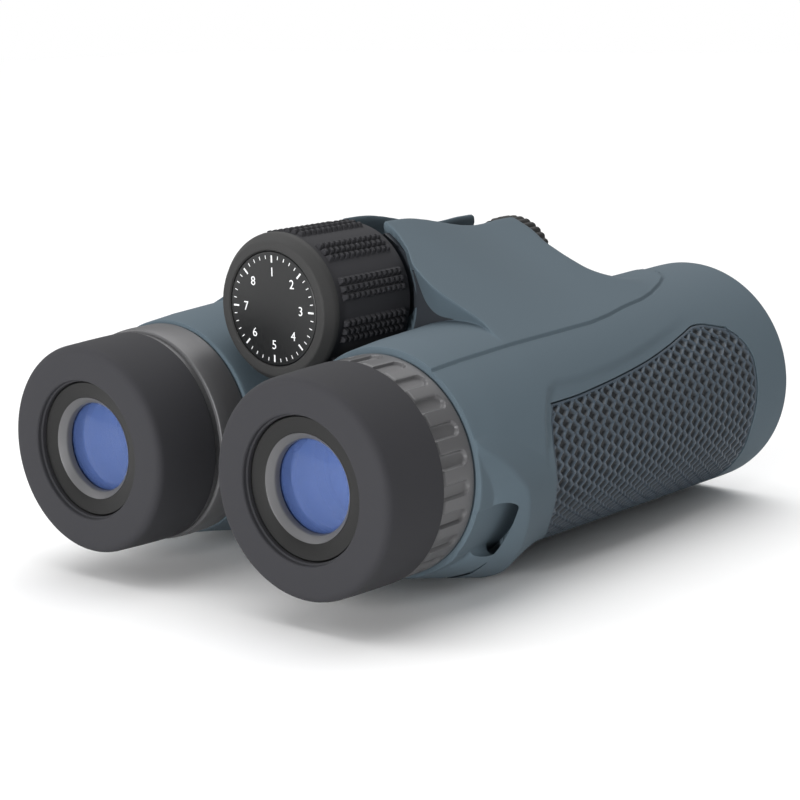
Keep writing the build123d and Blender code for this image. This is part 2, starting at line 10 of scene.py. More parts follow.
import bmesh
import bpy
import numpy as np
from bpy.props import FloatProperty, FloatVectorProperty, IntProperty, PointerProperty
from mathutils import Matrix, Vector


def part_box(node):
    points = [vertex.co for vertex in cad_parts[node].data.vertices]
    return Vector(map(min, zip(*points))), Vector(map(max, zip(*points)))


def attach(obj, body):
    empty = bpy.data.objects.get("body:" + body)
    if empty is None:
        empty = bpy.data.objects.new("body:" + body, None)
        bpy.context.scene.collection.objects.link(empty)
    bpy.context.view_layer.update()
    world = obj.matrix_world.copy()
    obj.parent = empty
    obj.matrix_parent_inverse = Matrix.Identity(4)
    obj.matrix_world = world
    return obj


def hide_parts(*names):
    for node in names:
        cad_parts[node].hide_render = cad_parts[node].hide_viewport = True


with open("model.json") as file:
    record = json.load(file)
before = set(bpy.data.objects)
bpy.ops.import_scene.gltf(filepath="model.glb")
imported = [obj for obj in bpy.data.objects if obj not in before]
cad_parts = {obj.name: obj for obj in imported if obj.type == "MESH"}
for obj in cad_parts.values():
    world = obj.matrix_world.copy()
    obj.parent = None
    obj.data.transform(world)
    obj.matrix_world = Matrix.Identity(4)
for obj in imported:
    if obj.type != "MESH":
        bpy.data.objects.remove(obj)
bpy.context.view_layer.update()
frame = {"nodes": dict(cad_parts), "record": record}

bl_info = {
    "name": "Roof-prism binoculars",
    "version": (1, 0, 0),
    "blender": (4, 5, 0),
    "location": "View3D > Sidebar > Binoculars",
    "description": "Rubber armour, eyepieces, focus wheel and studio of a pair of binoculars",
    "category": "Object",
}

MM = 0.001
SHARP = math.radians(38)
MEAN_RADIUS = 24  # the armour's, for lengths round the barrel
DOUBLES = 1e-7  # vertices nearer than this, in metres, are one


# ---------------------------------------------------------------- the frame's own places
def extent(node):
    """Lowest and highest corner of a CAD node, in millimetres."""
    return [np.array(corner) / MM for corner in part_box(node)]


EYE_Y = extent("right_eyecup")[0][1]
LENGTH = extent("right_armour")[1][1] - EYE_Y


def axis_of(node):
    """(x, z) of the axis of a round CAD node."""
    low, high = extent(node)
    return (low[0] + high[0]) / 2, (low[2] + high[2]) / 2


def span_of(node):
    """First and last place of a CAD node along the barrels."""
    low, high = extent(node)
    return low[1] - EYE_Y, high[1] - EYE_Y


def radius_of(node):
    """Outer radius of a round CAD node."""
    low, high = extent(node)
    return (high[0] - low[0]) / 2


HALF_SPACING = axis_of("right_eyecup")[0]
AXIS_Z = axis_of("right_eyecup")[1]
HINGE_Z = axis_of("focus_wheel")[1]
BODY_OF = {node: body for body, nodes in frame["record"]["behaviour"]["bodies"].items()
           for node in nodes}
SLOT_OF = {part["node"]: part["material_slot"] for part in frame["record"]["subparts"]}
HANDS = (("left", -1), ("right", 1))


def size(text, default, description):
    """A length property in millimetres."""
    return FloatProperty(name=text, default=default, description=description + ", in millimetres")


def degrees(text, default, description):
    """An angle property in degrees."""
    return FloatProperty(name=text, default=default, description=description + ", in degrees")


def colour(text, default, description):
    """A linear colour property."""
    return FloatVectorProperty(name=text, subtype="COLOR", size=3, min=0, max=1, default=default,
                               description=description)


# ---------------------------------------------------------------- what a user would change
class ArmourSizes(bpy.types.PropertyGroup):
    """Rubber armour of a half."""

    neck: size("Neck radius", 21.8, "Rubber radius behind the eyepiece")
    shoulder: size("Shoulder radius", 22.5, "Rubber radius eight millimetres in front of the neck")
    waist: size("Waist radius", 23.3, "Rubber radius where the bridge begins")
    middle: size("Middle radius", 23.7, "Rubber radius under the bridge")
    rim: size("Rim radius", 24.9, "Rubber radius at the objective end")
    rim_edge: size("Rim edge", 1.3, "Rounding of the objective end")
    mouth: size("Mouth radius", 18.9, "Opening in front of the objective")
    lip: size("Lip", 2.8, "Rubber in front of the housing")
    skin: size("Skin", 1.6, "Rubber thickness")
    wing_gap: size("Wing edge", 5.2, "Distance of a bridge wing from the middle plane")
    ridge_rear: size("Rear ridge", 41.2, "Ridge height over the barrel axes behind the wheel")
    ridge_fall: size("Ridge fall", 3.9, "How far the ridge falls towards the front")
    ridge_round: size("Ridge rounding", 2.0, "Rounding of the ridge")
    panel_step: size("Panel step", 0.4, "Height of the raised top panel")
    recess: size("Grip recess", 0.6, "Depth of the soft recess around the grip")


class LugSizes(bpy.types.PropertyGroup):
    """Strap lug of a half."""

    reach: size("Reach", 26.7, "Farthest radius of the lug")
    crest: size("Crest place", 44.0, "Place of the lug's crest underneath")
    slot_from: degrees("Slot from", -44.5, "Lower end of the strap slot")
    slot_to: degrees("Slot to", -13.5, "Upper end of the strap slot")
    slot_radius: size("Slot radius", 23.3, "Middle radius of the strap slot")
    slot_width: size("Slot width", 2.7, "Width of the strap slot")
    slot_end: size("Slot end", 39.0, "How far the slot runs into the lug")
    exit_from: degrees("Exit from", -93.0, "Lower end of the slot's way out")
    exit_to: degrees("Exit to", -79.0, "Upper end of the slot's way out")


class GripSizes(bpy.types.PropertyGroup):
    """Woven grip of a half."""

    low_edge: degrees("Lower edge", -62.0, "Lower edge of the grip")
    pocket: size("Pocket depth", 0.9, "Depth of the grip's seat in the armour")
    groove: size("Groove", 0.3, "Gap between the grip and the armour")
    pitch: size("Wire pitch", 2.2, "Distance between wires along the barrel")
    wave: size("Wave length", 2.6, "Length of one wave of a wire round the barrel")
    swing: FloatProperty(name="Swing", default=0.26,
                         description="Sideways swing of a wire as a share of the pitch")
    relief: size("Relief", 0.6, "Depth of the pits between the wires")


class WheelSizes(bpy.types.PropertyGroup):
    """Focus wheel."""

    pads: IntProperty(name="Pads", default=11, description="Number of knurled pads round the tyre")
    first_pad: degrees("First pad", 17.2, "Direction of the first pad")
    pad_angle: degrees("Pad angle", 19.0, "Width of a pad")
    pad_rows: IntProperty(name="Rows", default=3, description="Rows of studs in a pad")
    pad_studs: IntProperty(name="Studs", default=12, description="Studs in a row")
    band: size("Band radius", 14.3, "Radius of the smooth bands between pads")
    base: size("Pad radius", 14.15, "Radius between the studs of a pad")
    stud: size("Stud height", 1.0, "Height of a stud")


class EyeSizes(bpy.types.PropertyGroup):
    """Eyepieces."""

    cup_edge: size("Cup edge", 1.7, "Rounding of the eyecup's front edge")
    cup_front_wall: size("Cup front wall", 4.2, "Depth of the eyecup's face")
    notches: IntProperty(name="Notches", default=24,
                         description="Finger notches round the dioptre ring")
    notch_width: size("Notch width", 3.0, "Width of a finger notch")
    notch_depth: size("Notch depth", 0.75, "Depth of a finger notch")
    notch_tip: size("Notch tip", 22.4, "Place of the closed end of a finger notch")
    notch_turn: degrees("Notch turn", 13.0, "Direction of the first finger notch")


class Finishes(bpy.types.PropertyGroup):
    """Colours of the materials."""

    armour: colour("Armour", (0.038, 0.054, 0.073), "Blue-grey rubber armour")
    grip: colour("Grip", (0.040, 0.058, 0.078), "Crests of the woven grip")
    rubber: colour("Black rubber", (0.0125, 0.0125, 0.013), "Eyecups and wheel tyre")
    graphite: colour("Graphite", (0.060, 0.060, 0.061), "Dioptre ring and collar")
    wheel: colour("Wheel", (0.011, 0.011, 0.012), "Focus wheel rim")
    glass: colour("Glass coating", (0.0015, 0.003, 0.008), "Coated lenses")
    mark: colour("Marks", (0.86, 0.87, 0.88), "Printed scale marks")


class StageSettings(bpy.types.PropertyGroup):
    """Camera and light."""

    azimuth: degrees("Azimuth", 39.284, "Direction of the camera round the object")
    elevation: degrees("Elevation", 11.786, "Height of the camera")
    roll: degrees("Roll", -1.231, "Roll of the camera")
    distance: size("Distance", 355.8, "Camera to its target")
    lens: size("Lens", 89.06, "Focal length")
    floor: colour("Floor", (0.93, 0.93, 0.93), "Pale floor")


GROUPS = {"armour": ArmourSizes, "lug": LugSizes, "grip": GripSizes, "wheel": WheelSizes,
          "eye": EyeSizes, "finishes": Finishes, "stage": StageSettings}


class BinocularSizes(bpy.types.PropertyGroup):
    """All sizes and colours of the binoculars."""


for key, group in GROUPS.items():
    BinocularSizes.__annotations__[key] = PointerProperty(type=group, name=key,
                                                          description=group.__doc__)


def sizes():
    """The scene's sizes."""
    return bpy.context.scene.binoculars


# ---------------------------------------------------------------- curves and surfaces
def smooth(x):
    """0 below 0, 1 above 1 and a cubic with level ends between."""
    x = np.clip(x, 0, 1)
    return x * x * (3 - 2 * x)


def soft_min(a, b, width):
    """The smaller of two heights, with a parabola of that width where they cross."""
    share = np.clip(1 - np.abs(a - b) / width, 0, 1)
    return np.minimum(a, b) - share * share * width / 4


def eased(x, *knots):
    """Smooth curve through (x, height) knots; harmonic mean slopes keep it from overshooting."""
    at, height = np.array(knots, float).T
    step = np.diff(at)
    slope = np.diff(height) / step
    same_way = slope[:-1] * slope[1:] > 0
    total = np.where(same_way, slope[:-1] + slope[1:], 1)
    tangent = np.concatenate([slope[:1], np.where(same_way, 2 * slope[:-1] * slope[1:] / total, 0),
                              slope[-1:]])
    i = np.clip(np.searchsorted(at, x) - 1, 0, len(step) - 1)
    t = np.clip((x - at[i]) / step[i], 0, 1)
    ends = height[i] * (1 + 2 * t) * (1 - t) ** 2 + height[i + 1] * t * t * (3 - 2 * t)
    return ends + step[i] * t * (1 - t) * (tangent[i] * (1 - t) - tangent[i + 1] * t)


def inside(x, y, corners):
    """Distance of points to a closed outline, positive inside; crossings give the sign."""
    nearest = np.full(np.shape(x), 1e9)
    odd = np.zeros(np.shape(x), bool)
    for (ax, ay), (bx, by) in zip(corners, corners[1:] + corners[:1]):
        ex, ey = bx - ax, by - ay
        t = np.clip(((x - ax) * ex + (y - ay) * ey) / (ex * ex + ey * ey), 0, 1)
        nearest = np.minimum(nearest, np.hypot(x - ax - t * ex, y - ay - t * ey))
        if by != ay:
            crosses = (ay > y) != (by > y)
            odd ^= crosses & (x < ax + (y - ay) * ex / ey)
    return np.where(odd, nearest, -nearest)


def on_barrel(side, angle, place, radius, centre=None):
    """Points at (angle, place, radius) in a barrel's own frame; angle is mirrored on the left."""
    x, z = centre or (side * HALF_SPACING, AXIS_Z)
    turn = np.radians(angle)
    return np.stack(np.broadcast_arrays(x + side * radius * np.cos(turn), EYE_Y + place,
                                        z + radius * np.sin(turn)), axis=-1)


def rounded(*corners, steps=5):
    """Closed (radius, place) outline; a third number rounds a corner, starting that far from it."""
    points = []
    for k, corner in enumerate(corners):
        here = np.array(corner[:2], float)
        if len(corner) < 3:
            points.append(here)
            continue
        before = np.array(corners[k - 1][:2], float) - here
        after = np.array(corners[(k + 1) % len(corners)][:2], float) - here
        start = here + before / np.linalg.norm(before) * corner[2]
        end = here + after / np.linalg.norm(after) * corner[2]
        for t in np.linspace(0, 1, steps + 1):
            points.append((1 - t) ** 2 * start + 2 * t * (1 - t) * here + t * t * end)
    return np.array(points)


def spun(side, outline, centre=None, columns=160):
    """Surface of revolution: the outline's (radius, place) carried round the axis."""
    angle = np.arange(columns) * 360 / columns
    return on_barrel(side, angle[None, :], outline[:, 1:2], outline[:, 0:1], centre)


def quads_between(index):
    """Quads between the neighbours of a grid of vertex numbers."""
    corners = [index[:-1, :-1], index[1:, :-1], index[1:, 1:], index[:-1, 1:]]
    return np.stack(corners, axis=-1).reshape(-1, 4)


def make_piece(name, *grids, side=1, rows_close=True):
    """One mesh from grids of points whose columns, and rows if told to, close on themselves."""
    points, quads, first = [], [], 0
    for grid in grids:
        rows, columns = grid.shape[:2]
        index = first + np.arange(rows * columns).reshape(rows, columns)
        if rows_close:
            index = np.vstack([index, index[:1]])
        index = np.hstack([index, index[:, :1]])
        quad = quads_between(index)
        quads.append(quad if side > 0 else quad[:, ::-1])
        points.append(grid.reshape(-1, 3))
        first += rows * columns
    return mesh_object(name, np.concatenate(points), np.concatenate(quads))


def place_object(name, data):
    """A new object in the scene."""
    made = bpy.data.objects.new(name, data)
    bpy.context.scene.collection.objects.link(made)
    return made


def mesh_object(name, points, quads):
    """Object from points in millimetres and quads; merged doubles close the poles."""
    mesh = bpy.data.meshes.new(name)
    mesh.vertices.add(len(points))
    mesh.vertices.foreach_set("co", (points * MM).astype(np.float32).ravel())
    mesh.loops.add(quads.size)
    mesh.loops.foreach_set("vertex_index", quads.astype(np.int32).ravel())
    mesh.polygons.add(len(quads))
    mesh.polygons.foreach_set("loop_start", np.arange(0, quads.size, 4, dtype=np.int32))
    mesh.update(calc_edges=True)
    piece = place_object(name, mesh)
    merge_doubles(mesh)
    smooth_shade(mesh)
    return piece


def merge_doubles(mesh):
    """Join vertices that share a place, so that poles and seams are closed."""
    work = bmesh.new()
    work.from_mesh(mesh)
    bmesh.ops.remove_doubles(work, verts=work.verts, dist=DOUBLES)
    bmesh.ops.dissolve_degenerate(work, edges=work.edges, dist=1e-8)
    work.to_mesh(mesh)
    work.free()


def smooth_shade(mesh):
    """Smooth shading, with edges past the sharp angle kept crisp."""
    mesh.shade_smooth()
    mesh.set_sharp_from_angle(angle=SHARP)


def evaluated_mesh(piece):
    """A new mesh of what an object looks like with its modifiers."""
    graph = bpy.context.evaluated_depsgraph_get()
    return bpy.data.meshes.new_from_object(piece.evaluated_get(graph))


def cut(piece, cutter, overlapping):
    """Take a closed cutter out of a piece and throw the cutter away."""
    modifier = piece.modifiers.new("cut", "BOOLEAN")
    modifier.operation, modifier.solver, modifier.object = "DIFFERENCE", "EXACT", cutter
    modifier.use_self = overlapping
    mesh = evaluated_mesh(piece)
    piece.modifiers.clear()
    piece.data = mesh
    mesh.name = piece.name
    mesh.materials.clear()
    bpy.data.objects.remove(cutter)
    smooth_shade(mesh)


def finish_piece(piece, material, node, *more):
    """Give a piece its material and its body, and hide the CAD nodes that it stands for."""
    piece.data.materials.append(material)
    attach(piece, BODY_OF[node])
    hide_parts(node, *more)


def turned_piece(name, finish, node, outline, side=1, centre=None, columns=160, closed=True):
    """A piece turned about a barrel's axis or another centre, with its finish and node."""
    piece = make_piece(name, spun(side, outline, centre, columns), side=side, rows_close=closed)
    finish_piece(piece, material(finish), node)


# ---------------------------------------------------------------- materials
def put(node, **values):
    """Set a node's inputs; an underscore in a name stands for a space."""
    for name, value in values.items():
        node.inputs[name.replace("_", " ")].default_value = value


def nodes_of(name):
    """A new node material: its tree and its Principled shader."""
    material = bpy.data.materials.new(name)
    material.use_nodes = True
    return material, material.node_tree, material.node_tree.nodes["Principled BSDF"]


def noise(tree, scale, detail=4.0, roughness=0.55):
    """Noise on Object coordinates; the scale is per metre."""
    where = tree.nodes.new("ShaderNodeTexCoord")
    texture = tree.nodes.new("ShaderNodeTexNoise")
    put(texture, Scale=scale, Detail=detail, Roughness=roughness)
    tree.links.new(where.outputs["Object"], texture.inputs["Vector"])
    return texture


def ramp(tree, factor, low, high, start=0.3, end=0.7):
    """Colour ramp from low to high between two shares of a factor."""
    node = tree.nodes.new("ShaderNodeValToRGB")
    node.color_ramp.elements[0].position, node.color_ramp.elements[1].position = start, end
    node.color_ramp.elements[0].color = (*low, 1)
    node.color_ramp.elements[1].color = (*high, 1)
    tree.links.new(factor, node.inputs["Fac"])
    return node.outputs["Color"]


def spread(tree, factor, low, high):
    """A factor from 0.3 to 0.7 mapped to low and high."""
    node = tree.nodes.new("ShaderNodeMapRange")
    put(node, From_Min=0.3, From_Max=0.7, To_Min=low, To_Max=high)
    tree.links.new(factor, node.inputs["Value"])
    return node.outputs["Result"]


def bumpy(tree, shader, height, depth, strength):
    """Bump from a height factor, with its depth in metres."""
    node = tree.nodes.new("ShaderNodeBump")
    put(node, Distance=depth, Strength=strength)
    tree.links.new(height, node.inputs["Height"])
    tree.links.new(node.outputs["Normal"], shader.inputs["Normal"])


def tinted(base, share):
    """A colour made lighter or darker by a share."""
    return tuple(min(1.0, channel * share) for channel in base)


def matt_finish(name, base, rough, grain, depth, shade=0.12, sheen=0.0, metal=0.0, specular=0.5):
    """Moulded or coated surface: slow colour drift, fine grain in roughness and bump."""
    material, tree, shader = nodes_of(name)
    drift = noise(tree, 45, 3)
    fine = noise(tree, grain, 5, 0.6)
    tree.links.new(ramp(tree, drift.outputs["Fac"], tinted(base, 1 - shade),
                        tinted(base, 1 + shade)), shader.inputs["Base Color"])
    tree.links.new(spread(tree, fine.outputs["Fac"], rough - 0.06, rough + 0.08),
                   shader.inputs["Roughness"])
    bumpy(tree, shader, fine.outputs["Fac"], depth, 0.35)
    put(shader, Metallic=metal, Specular_IOR_Level=specular, Sheen_Weight=sheen,
        Sheen_Roughness=0.45)
    return material


def woven_finish_painted_shade(name, base):
    """Grip rubber: pits, read from the piece's relief attribute, are painted darker than the
    crests, a painted shade in the hollows of the weave.
    """
    material, tree, shader = nodes_of(name)
    relief = tree.nodes.new("ShaderNodeAttribute")
    relief.attribute_name = "relief"
    fine = noise(tree, 2600, 4)
    # painted shade: the base colour falls to a sixth of the grip colour in the pits and rises a
    # little on the wires
    tree.links.new(ramp(tree, relief.outputs["Fac"], tinted(base, 0.16), tinted(base, 1.15), 0.0,
                        1.0), shader.inputs["Base Color"])
    tree.links.new(spread(tree, fine.outputs["Fac"], 0.42, 0.55), shader.inputs["Roughness"])
    bumpy(tree, shader, fine.outputs["Fac"], 0.00003, 0.3)
    return material


def sparkling_finish(name, base):
    """Graphite paint with metal flakes: cells of varied brightness under a satin coat."""
    material, tree, shader = nodes_of(name)
    where = tree.nodes.new("ShaderNodeTexCoord")
    flakes = tree.nodes.new("ShaderNodeTexVoronoi")
    put(flakes, Scale=5200)
    tree.links.new(where.outputs["Object"], flakes.inputs["Vector"])
    tree.links.new(ramp(tree, flakes.outputs["Color"], tinted(base, 0.72), tinted(base, 1.5), 0.2,
                        0.9), shader.inputs["Base Color"])
    fine = noise(tree, 3500, 3)
    tree.links.new(spread(tree, fine.outputs["Fac"], 0.33, 0.46), shader.inputs["Roughness"])
    bumpy(tree, shader, fine.outputs["Fac"], 0.00003, 0.35)
    put(shader, Metallic=0.55, Coat_Weight=0.15, Coat_Roughness=0.3)
    return material


def turned_finish(name, base, rough, metal=1.0):
    """Turned metal: fine rings across the barrel axis in roughness and bump."""
    material, tree, shader = nodes_of(name)
    where = tree.nodes.new("ShaderNodeTexCoord")
    rings = tree.nodes.new("ShaderNodeTexWave")
    rings.bands_direction = "Y"
    put(rings, Scale=900, Distortion=0.4)
    tree.links.new(where.outputs["Object"], rings.inputs["Vector"])
    tree.links.new(ramp(tree, rings.outputs["Fac"], tinted(base, 0.85), tinted(base, 1.1), 0.1,
                        0.9), shader.inputs["Base Color"])
    tree.links.new(spread(tree, rings.outputs["Fac"], rough - 0.04, rough + 0.06),
                   shader.inputs["Roughness"])
    bumpy(tree, shader, rings.outputs["Fac"], 0.00002, 0.3)
    put(shader, Metallic=metal)
    return material


def coated_glass(name, base):
    """Coated lens: near-black and mirror smooth; its base colour brightens to blue towards grazing
    angles to the view, a painted reflection of the coating.
    """
    material, tree, shader = nodes_of(name)
    # painted reflection: the facing output, taken from the view direction, lifts the base colour at
    # grazing angles
    edge = tree.nodes.new("ShaderNodeLayerWeight")
    put(edge, Blend=0.35)
    tree.links.new(ramp(tree, edge.outputs["Facing"], tinted(base, 0.35), tinted(base, 1.6), 0.1,
                        0.9), shader.inputs["Base Color"])
    put(shader, Roughness=0.03, Specular_Tint=(0.42, 0.62, 1.0, 1), Specular_IOR_Level=0.9,
        Coat_Weight=1.0, Coat_Roughness=0.02, Coat_Tint=(0.75, 0.85, 1.0, 1))
    return material


def clear_glass(name):
    """Clear optical glass for the prisms."""
    material, tree, shader = nodes_of(name)
    faint = noise(tree, 30, 2)
    tree.links.new(ramp(tree, faint.outputs["Fac"], (0.90, 0.95, 1.0), (0.96, 0.98, 1.0)),
                   shader.inputs["Base Color"])
    put(shader, Roughness=0.0, Transmission_Weight=1.0, IOR=1.52, Specular_Tint=(0.6, 0.78, 1.0, 1))
    return material


class BINOCULARS_OT_materials(bpy.types.Operator):
    """Make every finish and put one on each carried CAD node"""

    bl_idname = "binoculars.materials"
    bl_label = "Materials"

    def execute(self, context):
        look = sizes().finishes
        made = {"armour_rubber": matt_finish("armour_rubber", look.armour, 0.50, 2300, 0.00005,
                                             0.05, 0.25),
                "grip_rubber": woven_finish_painted_shade("grip_rubber", look.grip),
                "black_rubber": matt_finish("black_rubber", look.rubber, 0.47, 2600, 0.00003, 0.06,
                                            0.1),
                "seal_rubber": matt_finish("seal_rubber", (0.02, 0.02, 0.02), 0.6, 1800, 0.00004),
                "coated_glass": coated_glass("coated_glass", look.glass),
                "prism_glass": clear_glass("prism_glass"),
                "satin_graphite": sparkling_finish("satin_graphite", look.graphite),
                "bezel_metal": turned_finish("bezel_metal", (0.16, 0.16, 0.155), 0.30),
                "housing_polymer": matt_finish("housing_polymer", (0.016, 0.020, 0.026), 0.5, 1500,
                                               0.00005),
                "machined_steel": turned_finish("machined_steel", (0.5, 0.5, 0.5), 0.25),
                "brass": turned_finish("brass", (0.7, 0.55, 0.25), 0.25),
                "black_plastic": matt_finish("black_plastic", look.wheel, 0.40, 1900, 0.00004),
                "black_anodised": matt_finish("black_anodised", (0.010, 0.010, 0.011), 0.42, 3000,
                                              0.00002, metal=0.3),
                "dial_face": matt_finish("dial_face", (0.005, 0.0055, 0.006), 0.38, 3000, 0.00001),
                "scale_white": matt_finish("scale_white", look.mark, 0.5, 3000, 0.00001, 0.02),}
        for node, shown in frame["nodes"].items():
            shown.data.materials.clear()
            shown.data.materials.append(made[SLOT_OF[node]])
        return {"FINISHED"}


def material(name):
    """A finish by name."""
    return bpy.data.materials[name]


# ---------------------------------------------------------------- armour
def barrel_radius(place):
    """Rubber radius of a plain barrel: straight tapers from neck to rim."""
    body = sizes().armour
    return np.interp(place, (24.3, 32, 48, 72, 130), (body.neck, body.shoulder, body.waist,
                                                      body.middle, body.rim))


def wing_radius(angle, place):
    """Distance from the barrel axis to the bridge: a flat tangent, cut off by the inner face.

    The flat runs from where it touches the barrel to the ridge, which a parabola rounds. Under the
    ridge the inner face lies half a millimetre deeper, so that the housing's own face shows."""
    body = sizes().armour
    barrel = barrel_radius(place)
    ridge = body.ridge_rear - body.ridge_fall * smooth((place - 57) / 27)
    ridge = ridge + 0.35 * smooth((place - 84) / 8)
    away = HALF_SPACING - body.wing_gap
    turn = np.radians(angle)
    touch = np.arctan2(ridge, -away) - np.arccos(barrel / np.hypot(away, ridge))
    past = np.clip(turn - touch, 0, math.radians(84))
    flat = barrel / np.cos(past)
    inward = np.maximum(-np.cos(turn), 0.05)
    depth = ridge - away * np.sin(turn) / inward
    face = (away - 0.5 * smooth((depth - 1.6) / 0.6)) / inward
    return np.maximum(barrel, soft_min(flat, face, body.ridge_round))


def lug_rise(angle, place):
    """How far the strap lug stands over the barrel.

    Along the barrel it is the lower of a rise from the crease to the crest, steep at first where
    the strap goes in, and a fall from the crest to the foot; all three wander with the angle."""
    reach, peak = sizes().lug.reach, sizes().lug.crest
    crest = eased(angle, (-130, peak), (-72, peak), (-45, 39.5), (-18, 36.5), (-9, 35.6),
                  (-3, 33.6), (8.6, 29.0), (18, 24.6), (24, 24.4))
    top = eased(angle, (-140, 22.4), (-125, 23.2), (-105, 24.8), (-90, 26.0), (-72, reach),
                (-45, reach - 0.4), (-18, 25.5), (-9, 24.9), (-3, 24.2), (8.6, 23.1), (18, 22.1),
                (24, 21.0))
    crease = eased(angle, (-130, 24), (-72, 24), (-58, 26), (-48, 28.3), (-30, 29.0), (-12, 28.6),
                   (-2, 27.2), (6.5, 25.4), (16, 24.3), (24, 24.2))
    foot = eased(angle, (-130, 60), (-72, 58), (-54, 55.5), (-36, 51), (-26, 49.5), (-12, 48),
                 (-3, 45), (8, 39), (18, 31), (24, 28))
    steep = eased(angle, (-130, 1), (-72, 1), (-52, 0.7), (-40, 0.55), (-18, 0.6), (-8, 0.95),
                  (10, 1), (24, 1))
    low_rear, low_front = barrel_radius(crease), barrel_radius(foot)
    rise = np.maximum((place - crease) / (crest - crease), 0) ** steep
    fall = np.maximum((foot - place) / (foot - crest), 0) ** 1.35
    surface = soft_min(low_rear + (top - low_rear) * rise, low_front + (top - low_front) * fall,
                       0.3)
    over = surface - barrel_radius(place)
    return np.where(np.abs(angle + 57) < 83, np.maximum(over, 0), 0)


def panel_rise(angle, place):
    """Raised top panel: a constant step inside its outline, softened over a narrow band."""
    outline = [(60, 10), (60, 75), (61.5, 82), (64, 88.6), (66, 97), (68.5, 102), (74, 109),
               (79, 113.6), (84, 116), (89, 117.6), (100, 119.8), (112, 120.4), (150, 120),
               (166, 116), (172, 104), (173, 10)]
    arc = math.radians(MEAN_RADIUS)
    edge = inside(angle * arc, place, [(a * arc, y) for a, y in outline])
    groove = 0.16 * np.clip(1 - np.abs(edge + 0.42) / 0.3, 0, 1)
    return sizes().armour.panel_step * smooth(edge / 0.45 + 0.5) - groove


def recess_drop(angle, place):
    """Soft recess round the grip, deepest at its upper edge, fading forwards and downwards."""
    outline = [(2, 43.8), (9.3, 44.2), (18.4, 45.1), (26.3, 47.1), (31.5, 49.2), (33.3, 51.9),
               (32.9, 58), (33.1, 66.4), (35.2, 75.8), (38.8, 86.3), (43.7, 96.7), (48.9, 106.4),
               (54, 113), (54, 128), (-80, 128), (-80, 43.8)]
    arc = math.radians(MEAN_RADIUS)
    edge = inside(angle * arc, place, [(a * arc, y) for a, y in outline])
    fade = (1 - smooth((place - 84) / 28)) * smooth((angle + 8) / 26)
    return sizes().armour.recess * smooth(edge / 1.5 + 0.5) * fade


def features(angle, place):
    """What stands over or sinks under the plain armour."""
    return lug_rise(angle, place) + panel_rise(angle, place) - recess_drop(angle, place)


def follow_panel(angle, place):
    """Angle of a column at a place: near 60 degrees it follows the panel's lower edge."""
    climb = np.interp(place, (75, 82, 88.6, 97, 102, 109, 113.6, 121, 129),
                      (0, 1.5, 4, 6, 8.5, 14, 19, 19, 0))
    share = smooth((angle - 34) / 24) * smooth((92 - angle) / 30)
    return angle + climb * share


def armour_angles(count):
    """Column angles from -180 to 180, closer together over the lug and the ridge."""
    fine = np.linspace(-180, 180, 3601)
    density = np.interp(fine, (-180, -95, -88, 22, 26, 57, 58.5, 61.5, 63, 92, 96, 122, 126, 168,
                               180), (0.33, 0.4, 1.05, 1.05, 0.8, 0.8, 4, 4, 0.9, 0.95, 2.5, 2.5,
                                      0.7, 0.6, 0.33))
    total = np.concatenate([[0], np.cumsum((density[1:] + density[:-1]) / 2)])
    return np.interp(np.arange(count) / count * total[-1], total, fine)


